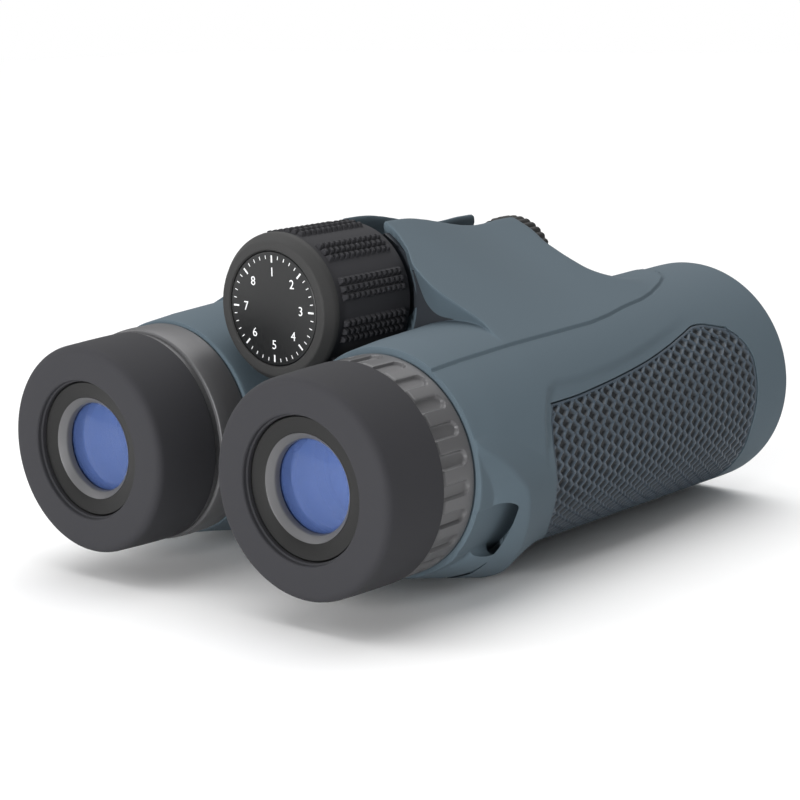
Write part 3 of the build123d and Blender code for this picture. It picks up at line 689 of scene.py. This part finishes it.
def armour_surface(side):
    """Closed armour shell in polar rows.

    Rows follow the bridge: neck, foot and edge of the rear face, edge and foot of the front face,
    rim. Between them the radius is the barrel's, the wing's or a straight run from one to the
    other, every corner is a parabola, and the rows come back inside as the inner wall."""
    body = sizes().armour
    angle = armour_angles(330)[None, :]
    rear_foot = eased(angle, (-180, 45.9), (60, 45.9), (68, 46.2), (78, 47.6), (90, 47.7),
                      (107, 48.2), (113, 49.6), (118, 50.6), (160, 50.6), (180, 45.9))
    rear_edge = eased(angle, (-180, 46.6), (60, 46.6), (68, 46.6), (78, 46.9), (88, 46), (99, 45),
                      (107, 46.4), (113, 50.5), (118, 52.7), (125, 52.3), (140, 51.4), (165, 51.2),
                      (180, 46.6))
    front_edge = eased(angle, (-180, 101), (60, 101), (73, 101), (85, 97), (97, 94.4), (111, 95),
                       (118, 97), (165, 97), (180, 101))
    front_foot = eased(angle, (-180, 108), (60, 108), (73, 108), (85, 106), (97, 103), (111, 100.5),
                       (118, 99.8), (165, 99.6), (180, 108))
    neck = span_of("right_armour")[0] + 0.3
    rim = LENGTH - body.rim_edge
    stops = (neck, rear_foot, rear_edge, front_edge, front_foot, rim)

    def bridge(place):
        return wing_radius(follow_panel(angle, place), place)

    heights = (barrel_radius, barrel_radius, bridge, bridge, barrel_radius, barrel_radius)
    at_stop = [np.broadcast_to(height(stop) + 0 * angle, angle.shape)
               for height, stop in zip(heights, stops)]

    def run(k, t):
        place = stops[k] + t * (stops[k + 1] - stops[k])
        if k in (0, 4):
            return place + 0 * angle, barrel_radius(place) + 0 * angle
        if k == 2:
            return place, bridge(place)
        return place, at_stop[k] + t * (at_stop[k + 1] - at_stop[k])

    counts, ease = (72, 7, 78, 14, 34), (0, 0.5, 0.7, 1.6, 2.5, 0)
    reach = [np.hypot(stops[k + 1] - stops[k], at_stop[k + 1] - at_stop[k]) for k in range(5)]
    rows = []
    for k in range(5):
        start = np.minimum(ease[k] / reach[k], 0.45)
        end = 1 - np.minimum(ease[k + 1] / reach[k], 0.45)
        rows += [run(k, start + (end - start) * t) for t in np.linspace(0, 1, counts[k])]
        if k < 4:
            before, after = rows[-1], run(k + 1, np.minimum(ease[k + 1] / reach[k + 1], 0.45))
            corner = (stops[k + 1], at_stop[k + 1])
            for t in (0.25, 0.5, 0.75):
                rows.append(tuple((1 - t) ** 2 * a + 2 * t * (1 - t) * b + t * t * c
                                  for a, b, c in zip(before, corner, after)))
    place = np.concatenate([row[0] + 0 * angle for row in rows])
    radius = np.concatenate([row[1] + 0 * angle for row in rows])
    outer_angle = follow_panel(angle, place)
    radius = radius + features(outer_angle, place)

    edge = body.rim_edge
    front = [(LENGTH - edge + edge * math.sin(t), body.rim - edge + edge * math.cos(t))
             for t in np.radians((20, 40, 60, 75, 90))]
    front += [(LENGTH, body.mouth + 0.8), (LENGTH - 0.25, body.mouth + 0.2),
              (LENGTH - 0.8, body.mouth), (LENGTH - body.lip + 0.05, body.mouth)]
    front_rows = [np.broadcast_to(np.array(p)[:, None, None], (2, 1, angle.size)) for p in front]

    back_places = [(LENGTH - body.lip + 0.05 + 0 * angle, False), (front_foot, False),
                   (front_edge - 1.6, True), (front_edge - 8, True), (front_edge - 22, True),
                   (rear_edge + 10, True), (rear_edge + 1.8, True), (rear_foot + 1.8, False),
                   (neck - 0.3 + 0 * angle, False)]
    inner = [(y, (wing_radius(angle, y) if winged else barrel_radius(y)) - body.skin - 0.05)
             for y, winged in back_places]
    lip = [(neck - 0.3 + 0 * angle, barrel_radius(neck) - 0.35 + 0 * angle),
           (neck - 0.2 + 0 * angle, barrel_radius(neck) - 0.1 + 0 * angle)]
    lip = [(y, r + features(angle, y)) for y, r in lip]
    plain = len(front_rows) + len(inner + lip)
    angles = np.concatenate([outer_angle, np.repeat(angle, plain, axis=0)])
    place = np.concatenate([place, *[p[0] for p in front_rows], *[p[0] for p in inner + lip]])
    radius = np.concatenate([radius, *[p[1] for p in front_rows], *[p[1] for p in inner + lip]])
    return on_barrel(side, angles, place, radius)


def arc_loop(low, high, middle, width, count=36):
    """Closed (angle, radius) outline of an arc slot with round ends, and its middle arc."""
    end = math.degrees(width / 2 / middle)
    sweep = np.linspace(0, 2 * math.pi, count, endpoint=False)
    along = np.where(np.cos(sweep) > 0, high - end, low + end) + end * np.cos(sweep)
    centre = np.clip(np.linspace(low, high, count // 2), low + end, high - end)
    outer = np.stack([centre, np.full(count // 2, middle + width / 2)], 1)
    inner = np.stack([centre[::-1], np.full(count // 2, middle - width / 2)], 1)
    caps = np.stack([along, middle + width / 2 * np.sin(sweep)], 1)
    right, left = caps[np.cos(sweep) > 0.01], caps[np.cos(sweep) < -0.01]
    right = right[np.argsort(right[:, 1])[::-1]]
    left = left[np.argsort(left[:, 1])]
    loop = np.concatenate([outer[1:-1], right, inner[1:-1], left])
    line = np.stack([np.clip(loop[:, 0], low + end, high - end), np.full(len(loop), middle)], 1)
    return loop, line


def slot_cutters(side):
    """Strap slot: in from the eye end, round inside the lug, and out underneath."""
    lug = sizes().lug
    start = span_of("right_armour")[0]
    grids = []
    way_in = (lug.slot_from, lug.slot_to, start, lug.slot_end)
    way_round = (lug.exit_from, lug.slot_from + 12, lug.slot_end - 5.6, lug.slot_end - 0.2)
    for low, high, near, far in (way_in, way_round):
        loop, line = arc_loop(low, high, lug.slot_radius, lug.slot_width)
        rows = [(line, near), (loop, near), (loop, far), (line, far)]
        grids.append(np.stack([on_barrel(side, part[:, 0], place, part[:, 1])
                               for part, place in rows]))
    turn = np.linspace(0, 2 * math.pi, 24, endpoint=False)
    middle, half = (lug.exit_from + lug.exit_to) / 2, (lug.exit_to - lug.exit_from) / 2
    angle = middle + half * np.sign(np.cos(turn)) * np.abs(np.cos(turn)) ** 0.5
    place = lug.slot_end - 2.9 + 2.5 * np.sign(np.sin(turn)) * np.abs(np.sin(turn)) ** 0.5
    rows = [(0, lug.slot_radius), (1, lug.slot_radius), (1, lug.reach + 3), (0, lug.reach + 3)]
    grids.append(np.stack([on_barrel(side, middle + s * (angle - middle),
                                     lug.slot_end - 2.9 + s * (place - lug.slot_end + 2.9), radius)
                           for s, radius in rows]))
    return grids


# ---------------------------------------------------------------- grip
def grip_patch(u, v, grow=0.0):
    """(angle, place) on the grip: u runs from rear to front edge, v from lower to upper edge.

    Rear and front edges are curves over the angle and the upper edge is a curve over the place,
    so both are found together in a few rounds. grow moves every edge outwards."""
    low = sizes().grip.low_edge - math.degrees(grow / MEAN_RADIUS)
    angle, place = low + v * (30 - low), 48 + u * 70
    for _ in range(12):
        high = eased(place, (44, 24.8), (48.7, 24.8), (55.7, 24.9), (64.4, 26.2), (73.5, 28.2),
                     (83.4, 31.2), (92.5, 35.3), (99.8, 39.4), (104.6, 41.8), (107.5, 41.2),
                     (109.8, 39.6), (114.4, 36.1)) + math.degrees(grow / MEAN_RADIUS)
        angle = low + v * (high - low)
        rear = eased(angle, (-62, 59), (-54, 56.2), (-36.7, 50.8), (-26, 49.0), (-11.6, 47.2),
                     (3.7, 46.2), (17.3, 47.3), (24.8, 48.7), (44, 48.9)) - grow
        front = eased(angle, (-62, 123.4), (-33, 121.4), (-17, 120), (6, 120.4), (15, 120.4),
                      (22.8, 119.5), (30, 117.6), (36.1, 114.8), (44, 113.5)) + grow
        place = rear + u * (front - rear)
    return angle, place


def weave(angle, place):
    """Height of the woven relief, 0 in a pit and 1 on a wire.

    Wires run round the barrel at a fixed pitch and swing from side to side like a rounded zigzag,
    each one against its neighbour, so they close on a staggered field of pits."""
    grip = sizes().grip
    along = place / grip.pitch
    around = np.radians(angle) * MEAN_RADIUS / grip.wave
    zigzag = np.arcsin(0.94 * np.sin(2 * math.pi * around)) / 1.22
    nearest = np.full(np.shape(along), 9.0)
    for shift in (-1, 0, 1):
        wire = np.floor(along + 0.5) + shift
        way = 1 - 2 * np.mod(wire, 2)
        nearest = np.minimum(nearest, np.abs(along - wire - grip.swing * way * zigzag))
    return 1 - smooth((nearest - 0.10) / 0.26)


def grip_surface(side):
    """Grip pad: a woven face, turned down at the edges, and a plain back that meets its outline."""
    rows, columns = 256, 184
    u = np.concatenate([[0, 0], np.linspace(0, 1, rows), [1, 1]])[:, None]
    v = np.concatenate([[0, 0], np.linspace(0, 1, columns), [1, 1]])[None, :]
    u, v = np.broadcast_arrays(u, v)
    angle, place = grip_patch(u, v)
    skin = barrel_radius(place) + lug_rise(angle, place) - recess_drop(angle, place)
    rim = np.minimum(np.minimum(u, 1 - u) * 72, np.minimum(v, 1 - v) * 38)
    relief = weave(angle, place)
    relief = np.where(rim < 0.9, np.maximum(relief, 1 - smooth((rim - 0.35) / 0.4)), relief)
    grip = sizes().grip
    top = skin - 0.12 - grip.relief * (1 - relief) - 0.12 * (1 - smooth(rim / 0.3))
    index_u = np.minimum(np.arange(rows + 4), rows + 3 - np.arange(rows + 4))[:, None]
    index_v = np.minimum(np.arange(columns + 4), columns + 3 - np.arange(columns + 4))[None, :]
    ring = np.minimum(index_u, index_v)
    top = np.where(ring == 0, skin - grip.pocket + 0.03, np.where(ring == 1, skin - 0.45, top))
    face = on_barrel(side, angle, place, top)
    # the turned-down edge rows get a low relief value, which the grip's colour ramp paints dark:
    # painted shade where the pad meets the armour
    relief = np.where(ring < 2, 0.2, relief)
    back = on_barrel(side, angle, place, np.where(ring == 0, skin - grip.pocket + 0.03,
                                                  skin - grip.pocket + 0.02))
    return face, back, relief


def open_grid_quads(rows, columns, first, reverse):
    """Quads of an open grid."""
    quads = quads_between(first + np.arange(rows * columns).reshape(rows, columns))
    return quads[:, ::-1] if reverse else quads


class BINOCULARS_OT_armour(bpy.types.Operator):
    """Rubber armour with its bridge wing, strap lug and grip seat"""

    bl_idname = "binoculars.armour"
    bl_label = "Armour"

    def execute(self, context):
        grip = sizes().grip
        for hand, side in HANDS:
            piece = make_piece(f"{hand}_armour_rubber", armour_surface(side), side=side)
            cut(piece, make_piece("slot", *slot_cutters(side), side=side, rows_close=False), True)
            u = np.linspace(0, 1, 70)[:, None]
            v = np.linspace(0, 1, 50)[None, :]
            angle, place = grip_patch(*np.broadcast_arrays(u, v), grip.groove)
            skin = barrel_radius(place) + lug_rise(angle, place) - recess_drop(angle, place)
            low, high = (on_barrel(side, angle, place, skin + lift) for lift in (-grip.pocket, 2.5))
            cut(piece, slab("pocket", high, low, side), False)
            finish_piece(piece, material("armour_rubber"), f"{hand}_armour")
        return {"FINISHED"}


def slab(name, top, bottom, side):
    """Closed slab between two open grids of one size, with a wall round their outline."""
    rows, columns = top.shape[:2]
    count = rows * columns
    index = np.arange(count).reshape(rows, columns)
    outline = np.concatenate([index[0, :-1], index[:-1, -1], index[-1, :0:-1], index[:0:-1, 0]])
    following = np.roll(outline, -1)
    wall = np.stack([outline, following, following + count, outline + count], axis=-1)
    quads = np.concatenate([open_grid_quads(rows, columns, 0, False),
                            open_grid_quads(rows, columns, count, True), wall])
    return mesh_object(name, np.concatenate([top.reshape(-1, 3), bottom.reshape(-1, 3)]),
                       quads if side > 0 else quads[:, ::-1])


class BINOCULARS_OT_grips(bpy.types.Operator):
    """Woven grip pads let into the armour"""

    bl_idname = "binoculars.grips"
    bl_label = "Grips"

    def execute(self, context):
        for hand, side in HANDS:
            face, back, relief = grip_surface(side)
            rows, columns = face.shape[:2]
            quads = np.concatenate([open_grid_quads(rows, columns, 0, side < 0),
                                    open_grid_quads(rows, columns, rows * columns, side > 0)])
            mesh_points = np.concatenate([face.reshape(-1, 3), back.reshape(-1, 3)])
            piece = mesh_object(f"{hand}_grip_weave", mesh_points, quads)
            paint_relief(piece.data, np.concatenate([relief.ravel(), np.zeros(rows * columns)]),
                         mesh_points)
            finish_piece(piece, material("grip_rubber"), f"{hand}_grip_pad")
        return {"FINISHED"}


def paint_relief(mesh, relief, points):
    """Store the relief on the merged mesh: a vertex takes the value of the point in its place."""
    co = np.zeros(len(mesh.vertices) * 3, np.float32)
    mesh.vertices.foreach_get("co", co)
    kept = np.round(co.reshape(-1, 3).astype(float) * 1e7).astype(np.int64)
    given = np.round((points * MM).astype(np.float32).astype(float) * 1e7).astype(np.int64)
    packing = np.array([1, 2 ** 21, 2 ** 42])
    keys = given @ packing
    order = np.argsort(keys, kind="stable")
    found = order[np.clip(np.searchsorted(keys[order], kept @ packing), 0, len(keys) - 1)]
    # the grip's material reads this attribute to paint shade into the pits and the edge rows
    attribute = mesh.attributes.new("relief", "FLOAT", "POINT")
    attribute.data.foreach_set("value", relief[found].astype(np.float32))


# ---------------------------------------------------------------- eyepieces
class BINOCULARS_OT_eyepieces(bpy.types.Operator):
    """Eyecups, ocular faces, bezels and lenses"""

    bl_idname = "binoculars.eyepieces"
    bl_label = "Eyepieces"

    def execute(self, context):
        eye = sizes().eye
        for hand, side in HANDS:
            cup_start, cup_end = span_of(f"{hand}_eyecup")
            outer = radius_of(f"{hand}_eyecup")
            cup = rounded((13.46, eye.cup_front_wall), (13.46, 1.1, 0.1), (13.75, 0.9, 0.1),
                          (13.8, cup_start, 0.45), (outer - 0.5, cup_start, eye.cup_edge),
                          (outer - 0.1, 9.5, 3), (outer, cup_end, 0.35), (18.3, cup_end),
                          (18.3, eye.cup_front_wall), steps=8)
            turned_piece(f"{hand}_eyecup_rubber", "black_rubber", f"{hand}_eyecup", cup, side)

            start, end = span_of(f"{hand}_ocular_tube")
            barrel = rounded((10.12, start + 0.5, 0.1), (13.1, start, 0.15), (13.36, start + 0.2),
                             (13.36, 4.5), (15.6, 4.5), (15.6, 24.3), (18.4, 24.3), (18.4, end),
                             (11.5, end), (11.5, 13), (9.0, 13), (9.0, 9.1), (10.2, 9.1),
                             (10.12, 3.1))
            turned_piece(f"{hand}_ocular_barrel", "black_anodised", f"{hand}_ocular_tube", barrel,
                         side)

            start, end = span_of(f"{hand}_eye_lens_bezel")
            bezel = rounded((10.08, end), (10.08, start, 0.12), (8.9, start + 1.25, 0.2),
                            (8.78, start + 1.7), (8.78, end))
            turned_piece(f"{hand}_eye_bezel", "bezel_metal", f"{hand}_eye_lens_bezel", bezel, side)

            low, high = span_of(f"{hand}_eye_lens")
            glass = lens_outline(10.15, low + 1.6, high - 0.9, 1.5, 0.8)
            turned_piece(f"{hand}_eye_glass", "coated_glass", f"{hand}_eye_lens", glass, side,
                         columns=96, closed=False)

            low, high = span_of(f"{hand}_field_lens")
            glass = lens_outline(radius_of(f"{hand}_field_lens"), low + 0.9, high - 0.8, 1.6, 0.6)
            turned_piece(f"{hand}_field_glass", "coated_glass", f"{hand}_field_lens", glass, side,
                         columns=96, closed=False)
        return {"FINISHED"}


def lens_outline(radius, near, far, near_bulge, far_bulge, steps=14):
    """Lens outline from axis to axis: two parabolic faces and a flat edge."""
    t = np.linspace(0, 1, steps)
    near_face = np.stack([radius * t, near - near_bulge * (1 - t * t)], 1)
    far_face = np.stack([radius * t[::-1], far + far_bulge * (1 - t[::-1] ** 2)], 1)
    return np.concatenate([near_face, far_face])


def notched(angle, place):
    """Depth of the finger notches: channels open to the eye, with flat floors, steep walls."""
    eye = sizes().eye
    pitch = 360 / eye.notches
    across = (np.mod(angle - eye.notch_turn + pitch / 2, pitch) - pitch / 2) * math.radians(21)
    past = np.maximum(place - (eye.notch_tip - eye.notch_width / 2), 0)
    reach = np.hypot(across, past) / (eye.notch_width / 2)
    floor = 1 - 0.25 * np.clip(reach, 0, 1) ** 2
    return eye.notch_depth * smooth((1 - reach) / 0.26) * floor


class BINOCULARS_OT_rings(bpy.types.Operator):
    """Dioptre ring with finger notches and the plain collar on the other side"""

    bl_idname = "binoculars.rings"
    bl_label = "Rings"

    def execute(self, context):
        start, end = span_of("diopter_ring")
        outer = radius_of("diopter_ring")
        places = np.concatenate([[start + 0.25], np.linspace(start + 0.5, end - 0.5, 44),
                                 [end - 0.25]])
        columns = 24 * sizes().eye.notches
        angle = (np.arange(columns) * 360 / columns)[None, :]
        edge = np.where((places < start + 0.4) | (places > end - 0.4), 0.08, 0)[:, None]
        face = outer - notched(angle, places[:, None]) - edge
        rim_start = np.minimum(outer - 0.35, face[:1] - 0.1)
        rows = [(start, 15.7 + 0 * angle), (start, rim_start)]
        rows += [(y, face[k:k + 1]) for k, y in enumerate(places)]
        rows += [(end, outer - 0.35 + 0 * angle), (end, 15.7 + 0 * angle)]
        grid = np.concatenate([on_barrel(1, angle, y, r) for y, r in rows])
        piece = make_piece("diopter_knurl", grid.reshape(len(rows), columns, 3))
        finish_piece(piece, material("satin_graphite"), "diopter_ring")

        start, end = span_of("left_collar_ring")
        outer = radius_of("left_collar_ring")
        collar = rounded((15.62, start), (outer - 0.9, start, 0.2), (outer - 0.9, start + 1.1),
                         (outer - 0.2, start + 1.2, 0.3), (outer, start + 3, 1), (outer, end, 0.3),
                         (15.62, end))
        turned_piece("left_collar", "satin_graphite", "left_collar_ring", collar, -1)
        return {"FINISHED"}


# ---------------------------------------------------------------- focus wheel
def tyre_rise(angle, share):
    """Height of the tyre over its base: smooth bands, and pads of pyramids with flat tops."""
    wheel = sizes().wheel
    pitch = 360 / wheel.pads
    off = np.mod(angle - wheel.first_pad + pitch / 2, pitch) - pitch / 2
    across = (off / wheel.pad_angle + 0.5) * wheel.pad_rows
    along = share * wheel.pad_studs
    cell_a, cell_b = np.abs(np.mod(across, 1) - 0.5) * 2, np.abs(np.mod(along, 1) - 0.5) * 2
    stud = np.clip(1.75 * (1 - np.maximum(cell_a, cell_b)), 0, 1)
    on_pad = (np.abs(off) < wheel.pad_angle / 2) & (share > 0) & (share < 1)
    return np.where(on_pad, wheel.stud * stud, wheel.band - wheel.base)


class BINOCULARS_OT_wheel(bpy.types.Operator):
    """Focus wheel: rim, knurled tyre, dial and its scale"""

    bl_idname = "binoculars.wheel"
    bl_label = "Focus wheel"

    def execute(self, context):
        wheel = sizes().wheel
        centre = axis_of("focus_wheel")
        start, end = span_of("focus_wheel")
        outer = radius_of("focus_wheel")
        dial_start, dial_end = span_of("focus_dial")
        dial = radius_of("focus_dial")
        tyre_start, tyre_end = span_of("focus_wheel_grip")
        rim = rounded((dial + 0.06, dial_end), (dial + 0.06, start + 0.3), (dial + 0.3, start, 0.1),
                      (outer - 1.6, start, 0.35), (outer - 0.05, tyre_start - 1.0, 0.6),
                      (outer - 0.02, tyre_start, 0.2), (13.0, tyre_start), (13.0, end), (5.6, end),
                      (5.6, 33.4), (dial - 2, 33.4), (dial - 2, dial_end))
        turned_piece("wheel_rim", "black_plastic", "focus_wheel", rim, centre=centre)

        face = rounded((0, dial_start + 0.02), (dial - 0.25, dial_start, 0.1),
                       (dial, dial_start + 0.25), (dial, dial_end), (0, dial_end))
        turned_piece("wheel_dial", "dial_face", "focus_dial", face, centre=centre, closed=False)

        columns = 60 * wheel.pads
        angle = (np.arange(columns) * 360 / columns)[None, :]
        places = np.linspace(tyre_start + 0.12, tyre_end - 0.35, 128)[:, None]
        share = (places - tyre_start - 1.5) / (tyre_end - tyre_start - 3.4)
        radius = wheel.base + tyre_rise(angle, share)
        closing = [(tyre_start, 13.05),
                   (tyre_start, wheel.band - 0.2)], [(tyre_end, wheel.band - 0.5),
                                                     (tyre_end, 13.05)]
        inner, back = ([[[y]] for y, _ in ends] for ends in closing)
        place = np.concatenate(inner + [places] + back)
        flat = [[np.full((1, angle.size), r) for _, r in ends] for ends in closing]
        radius = np.concatenate([*flat[0], radius, *flat[1]])
        piece = make_piece("wheel_tyre", on_barrel(1, angle, place, radius, centre))
        finish_piece(piece, material("black_rubber"), "focus_wheel_grip")
        self.scale(centre, dial_start, dial)
        return {"FINISHED"}

    def scale(self, centre, face, dial):
        """Printed scale: long and short ticks near the edge and the numbers 1 to 8 inside them."""
        marks = []
        for k in range(40):
            if k % 5 == 0:
                continue
            turn = math.radians(k * 9)
            marks.append(tick(centre, face, turn, dial - 1.5, dial - 0.8, 0.16))
        for k in range(8):
            turn = math.radians(90 - k * 45)
            marks.append(tick(centre, face, turn, dial - 2.2, dial - 0.8, 0.34))
            marks.append(number(str(k + 1), centre, face, turn, dial - 4.1, 2.5))
        join("dial_marks", marks, material("scale_white"))
        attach(bpy.data.objects["dial_marks"], BODY_OF["focus_dial"])


def tick(centre, face, turn, inner, outer, width):
    """Flat bar on the dial, along a spoke: corners at two radii and two sides, 0.03 mm proud."""
    x, z = centre
    along = np.array([math.cos(turn), math.sin(turn)])
    across = np.array([-along[1], along[0]]) * width / 2
    flat = np.array([along * inner - across, along * outer - across, along * outer + across,
                     along * inner + across])
    front, back = EYE_Y + face - 0.03, EYE_Y + face + 0.05
    points = np.array([(x + a, y, z + b) for y in (front, back) for a, b in flat])
    quads = np.array([(0, 1, 2, 3), (7, 6, 5, 4), (0, 4, 5, 1), (1, 5, 6, 2), (2, 6, 7, 3),
                      (3, 7, 4, 0)])
    return mesh_object("tick", points, quads)


def number(text, centre, face, turn, radius, height):
    """A number standing upright on the dial, made a mesh and then put in its place."""
    words = bpy.data.curves.new("number", "FONT")
    words.body, words.size, words.align_x, words.align_y = text, height * MM, "CENTER", "CENTER"
    words.extrude, words.resolution_u = 0.00004, 4
    drawn = place_object("number", words)
    bpy.context.view_layer.update()
    mesh = evaluated_mesh(drawn)
    bpy.data.objects.remove(drawn)
    x = centre[0] + radius * math.cos(turn)
    z = centre[1] + radius * math.sin(turn)
    upright = Matrix.Rotation(math.pi / 2, 4, "X")
    mesh.transform(Matrix.Translation((x * MM, (EYE_Y + face + 0.01) * MM, z * MM)) @ upright)
    return place_object("number", mesh)


def join(name, parts, finish):
    """Join small meshes into one piece."""
    work = bmesh.new()
    for part in parts:
        work.from_mesh(part.data)
        bpy.data.objects.remove(part)
    bmesh.ops.remove_doubles(work, verts=work.verts, dist=DOUBLES)
    mesh = bpy.data.meshes.new(name)
    work.to_mesh(mesh)
    work.free()
    mesh.materials.append(finish)
    place_object(name, mesh)


# ---------------------------------------------------------------- front end
class BINOCULARS_OT_front(bpy.types.Operator):
    """Objective glass, its threaded ring, and the tripod cap"""

    bl_idname = "binoculars.front"
    bl_label = "Front end"

    def execute(self, context):
        for hand, side in HANDS:
            low, high = span_of(f"{hand}_objective_lens")
            radius = radius_of(f"{hand}_objective_lens")
            glass = lens_outline(radius, low + 0.6, high - 1.7, 0.5, 1.6, 20)
            turned_piece(f"{hand}_objective_glass", "coated_glass", f"{hand}_objective_lens", glass,
                         side, columns=128, closed=False)

            start, end = span_of(f"{hand}_objective_retainer")
            outer = radius_of(f"{hand}_objective_retainer")
            steps = [(outer - 1.7 - 0.22 * (k % 2) + 0.28 * k / 2, start + 0.4 + 0.55 * k)
                     for k in range(5)]
            ring = [(16.1, start), (outer, start), (outer, end - 0.15), (outer - 0.15, end)]
            ring += [(r, y) for r, y in reversed(steps)]
            turned_piece(f"{hand}_objective_ring", "black_anodised", f"{hand}_objective_retainer",
                         np.array(ring), side)

        centre = axis_of("tripod_cap")
        start, end = span_of("tripod_cap")
        outer = radius_of("tripod_cap")
        head = rounded((0, end), (5.0, end, 0.3), (5.0, start + 6.2, 0.2),
                       (outer - 0.5, end - 0.55, 0.4), (outer, end - 1.5, 0.4),
                       (outer, start + 0.7, 0.3), (outer - 0.6, start), (6.3, start),
                       (6.3, start + 4.4), (0, start + 4.4))
        head = np.array([(r, min(y, end)) for r, y in head])[::-1]
        grid = spun(1, head, centre, columns=288)
        angle = np.radians(np.arange(288) * 360 / 288)
        from_middle = np.abs(head[:, 1] - (start + end) / 2)
        ribbed = (head[:, 0] > outer - 0.8)[:, None] & (from_middle < 5)[:, None]
        rib = 0.45 * (0.5 - 0.5 * np.cos(36 * angle)) ** 2
        pull = np.where(ribbed, 1 - rib[None, :] / outer, 1)
        grid[..., 0] = centre[0] + (grid[..., 0] - centre[0]) * pull
        grid[..., 2] = centre[1] + (grid[..., 2] - centre[1]) * pull
        piece = make_piece("tripod_cap_ribbed", grid[:, ::-1], rows_close=False)
        finish_piece(piece, material("black_plastic"), "tripod_cap")
        return {"FINISHED"}


# ---------------------------------------------------------------- studio
def area_light(name, place, target, width, height, watts):
    """Soft rectangular light at a place, aimed at a target; both in millimetres."""
    data = bpy.data.lights.new(name, "AREA")
    data.shape, data.size, data.size_y, data.energy = "RECTANGLE", width * MM, height * MM, watts
    place, target = np.array(place, float) * MM, np.array(target, float) * MM
    back = place - target
    place_object(name, data).matrix_world = looking(place, back / np.linalg.norm(back), 0)


def looking(place, back, roll):
    """Matrix at a place in metres with +Z back and +Y as upright as it can be, then rolled."""
    right = np.cross((0, 0, 1), back)
    right = right / np.linalg.norm(right)
    up = np.cross(back, right)
    c, s = math.cos(roll), math.sin(roll)
    turned = np.stack([c * right + s * up, c * up - s * right, back], axis=1)
    matrix = Matrix(turned.tolist()).to_4x4()
    matrix.translation = place
    return matrix


def white_to_the_camera(tree, strength):
    """World that lights softly and is plain white behind the object."""
    background = tree.nodes["Background"]
    put(background, Color=(1, 1, 1, 1))
    path = tree.nodes.new("ShaderNodeLightPath")
    mapped = tree.nodes.new("ShaderNodeMapRange")
    put(mapped, To_Min=strength)
    tree.links.new(path.outputs["Is Camera Ray"], mapped.inputs["Value"])
    tree.links.new(mapped.outputs["Result"], background.inputs["Strength"])


class BINOCULARS_OT_studio(bpy.types.Operator):
    """Camera, soft lights and a flat pale floor"""

    bl_idname = "binoculars.studio"
    bl_label = "Studio"

    def execute(self, context):
        stage = sizes().stage
        a, e = math.radians(stage.azimuth), math.radians(stage.elevation)
        back = np.array([math.sin(a) * math.cos(e), -math.cos(a) * math.cos(e), math.sin(e)])
        target = np.array([36.85, EYE_Y + 17.96, AXIS_Z + 14.35])
        data = bpy.data.cameras.new("camera")
        data.lens, data.sensor_width = stage.lens, 36
        camera = place_object("camera", data)
        camera.matrix_world = looking((target + back * stage.distance) * MM, back,
                                      math.radians(stage.roll))
        context.scene.camera = camera

        reach = 2500
        x, y = np.meshgrid(np.linspace(-reach, reach, 9), np.linspace(-reach, reach, 9),
                           indexing="ij")
        grid = np.stack([x, y, np.zeros_like(x)], axis=-1)
        floor = mesh_object("floor", grid.reshape(-1, 3), open_grid_quads(9, 9, 0, True))
        floor_material = matt_finish("pale_floor", stage.floor, 0.7, 300, 0.00001, 0.005,
                                     specular=0.1)
        floor.data.materials.append(floor_material)

        world = bpy.data.worlds.new("studio")
        context.scene.world = world
        world.use_nodes = True
        white_to_the_camera(world.node_tree, 0.32)
        sun = bpy.data.lights.new("sky_panel", "SUN")
        sun.energy, sun.angle = 2.6, math.radians(70)
        place_object("sky_panel", sun).rotation_euler = (math.radians(-14), math.radians(-10), 0)
        area_light("eye_strip", (150, -760, 60), (10, -60, 30), 40, 420, 7)
        area_light("left_side", (-650, -450, 350), (0, 0, 20), 300, 500, 2)
        context.scene.view_settings.view_transform = "Standard"
        return {"FINISHED"}


class BINOCULARS_PT_panel(bpy.types.Panel):
    """Lists the steps of making the binoculars"""

    bl_idname = "BINOCULARS_PT_panel"
    bl_label = "Binoculars"
    bl_space_type = "VIEW_3D"
    bl_region_type = "UI"
    bl_category = "Binoculars"

    def draw(self, context):
        for step in STEPS:
            self.layout.operator(step.bl_idname, text=step.bl_label)
        for key in GROUPS:
            box = self.layout.box()
            group = getattr(context.scene.binoculars, key)
            for name in GROUPS[key].__annotations__:
                box.prop(group, name)


STEPS = (BINOCULARS_OT_studio, BINOCULARS_OT_materials, BINOCULARS_OT_armour, BINOCULARS_OT_grips,
         BINOCULARS_OT_eyepieces, BINOCULARS_OT_rings, BINOCULARS_OT_wheel, BINOCULARS_OT_front)
CLASSES = (*GROUPS.values(), BinocularSizes, *STEPS, BINOCULARS_PT_panel)


def register():
    """Add the classes and the scene's sizes."""
    for item in CLASSES:
        bpy.utils.register_class(item)
    bpy.types.Scene.binoculars = PointerProperty(type=BinocularSizes)


def unregister():
    """Remove what register added."""
    del bpy.types.Scene.binoculars
    for item in reversed(CLASSES):
        bpy.utils.unregister_class(item)


def main():
    """Make every piece in order."""
    register()
    for step in STEPS:
        getattr(bpy.ops.binoculars, step.bl_idname.split(".")[1])()


if __name__ == "__main__":
    main()
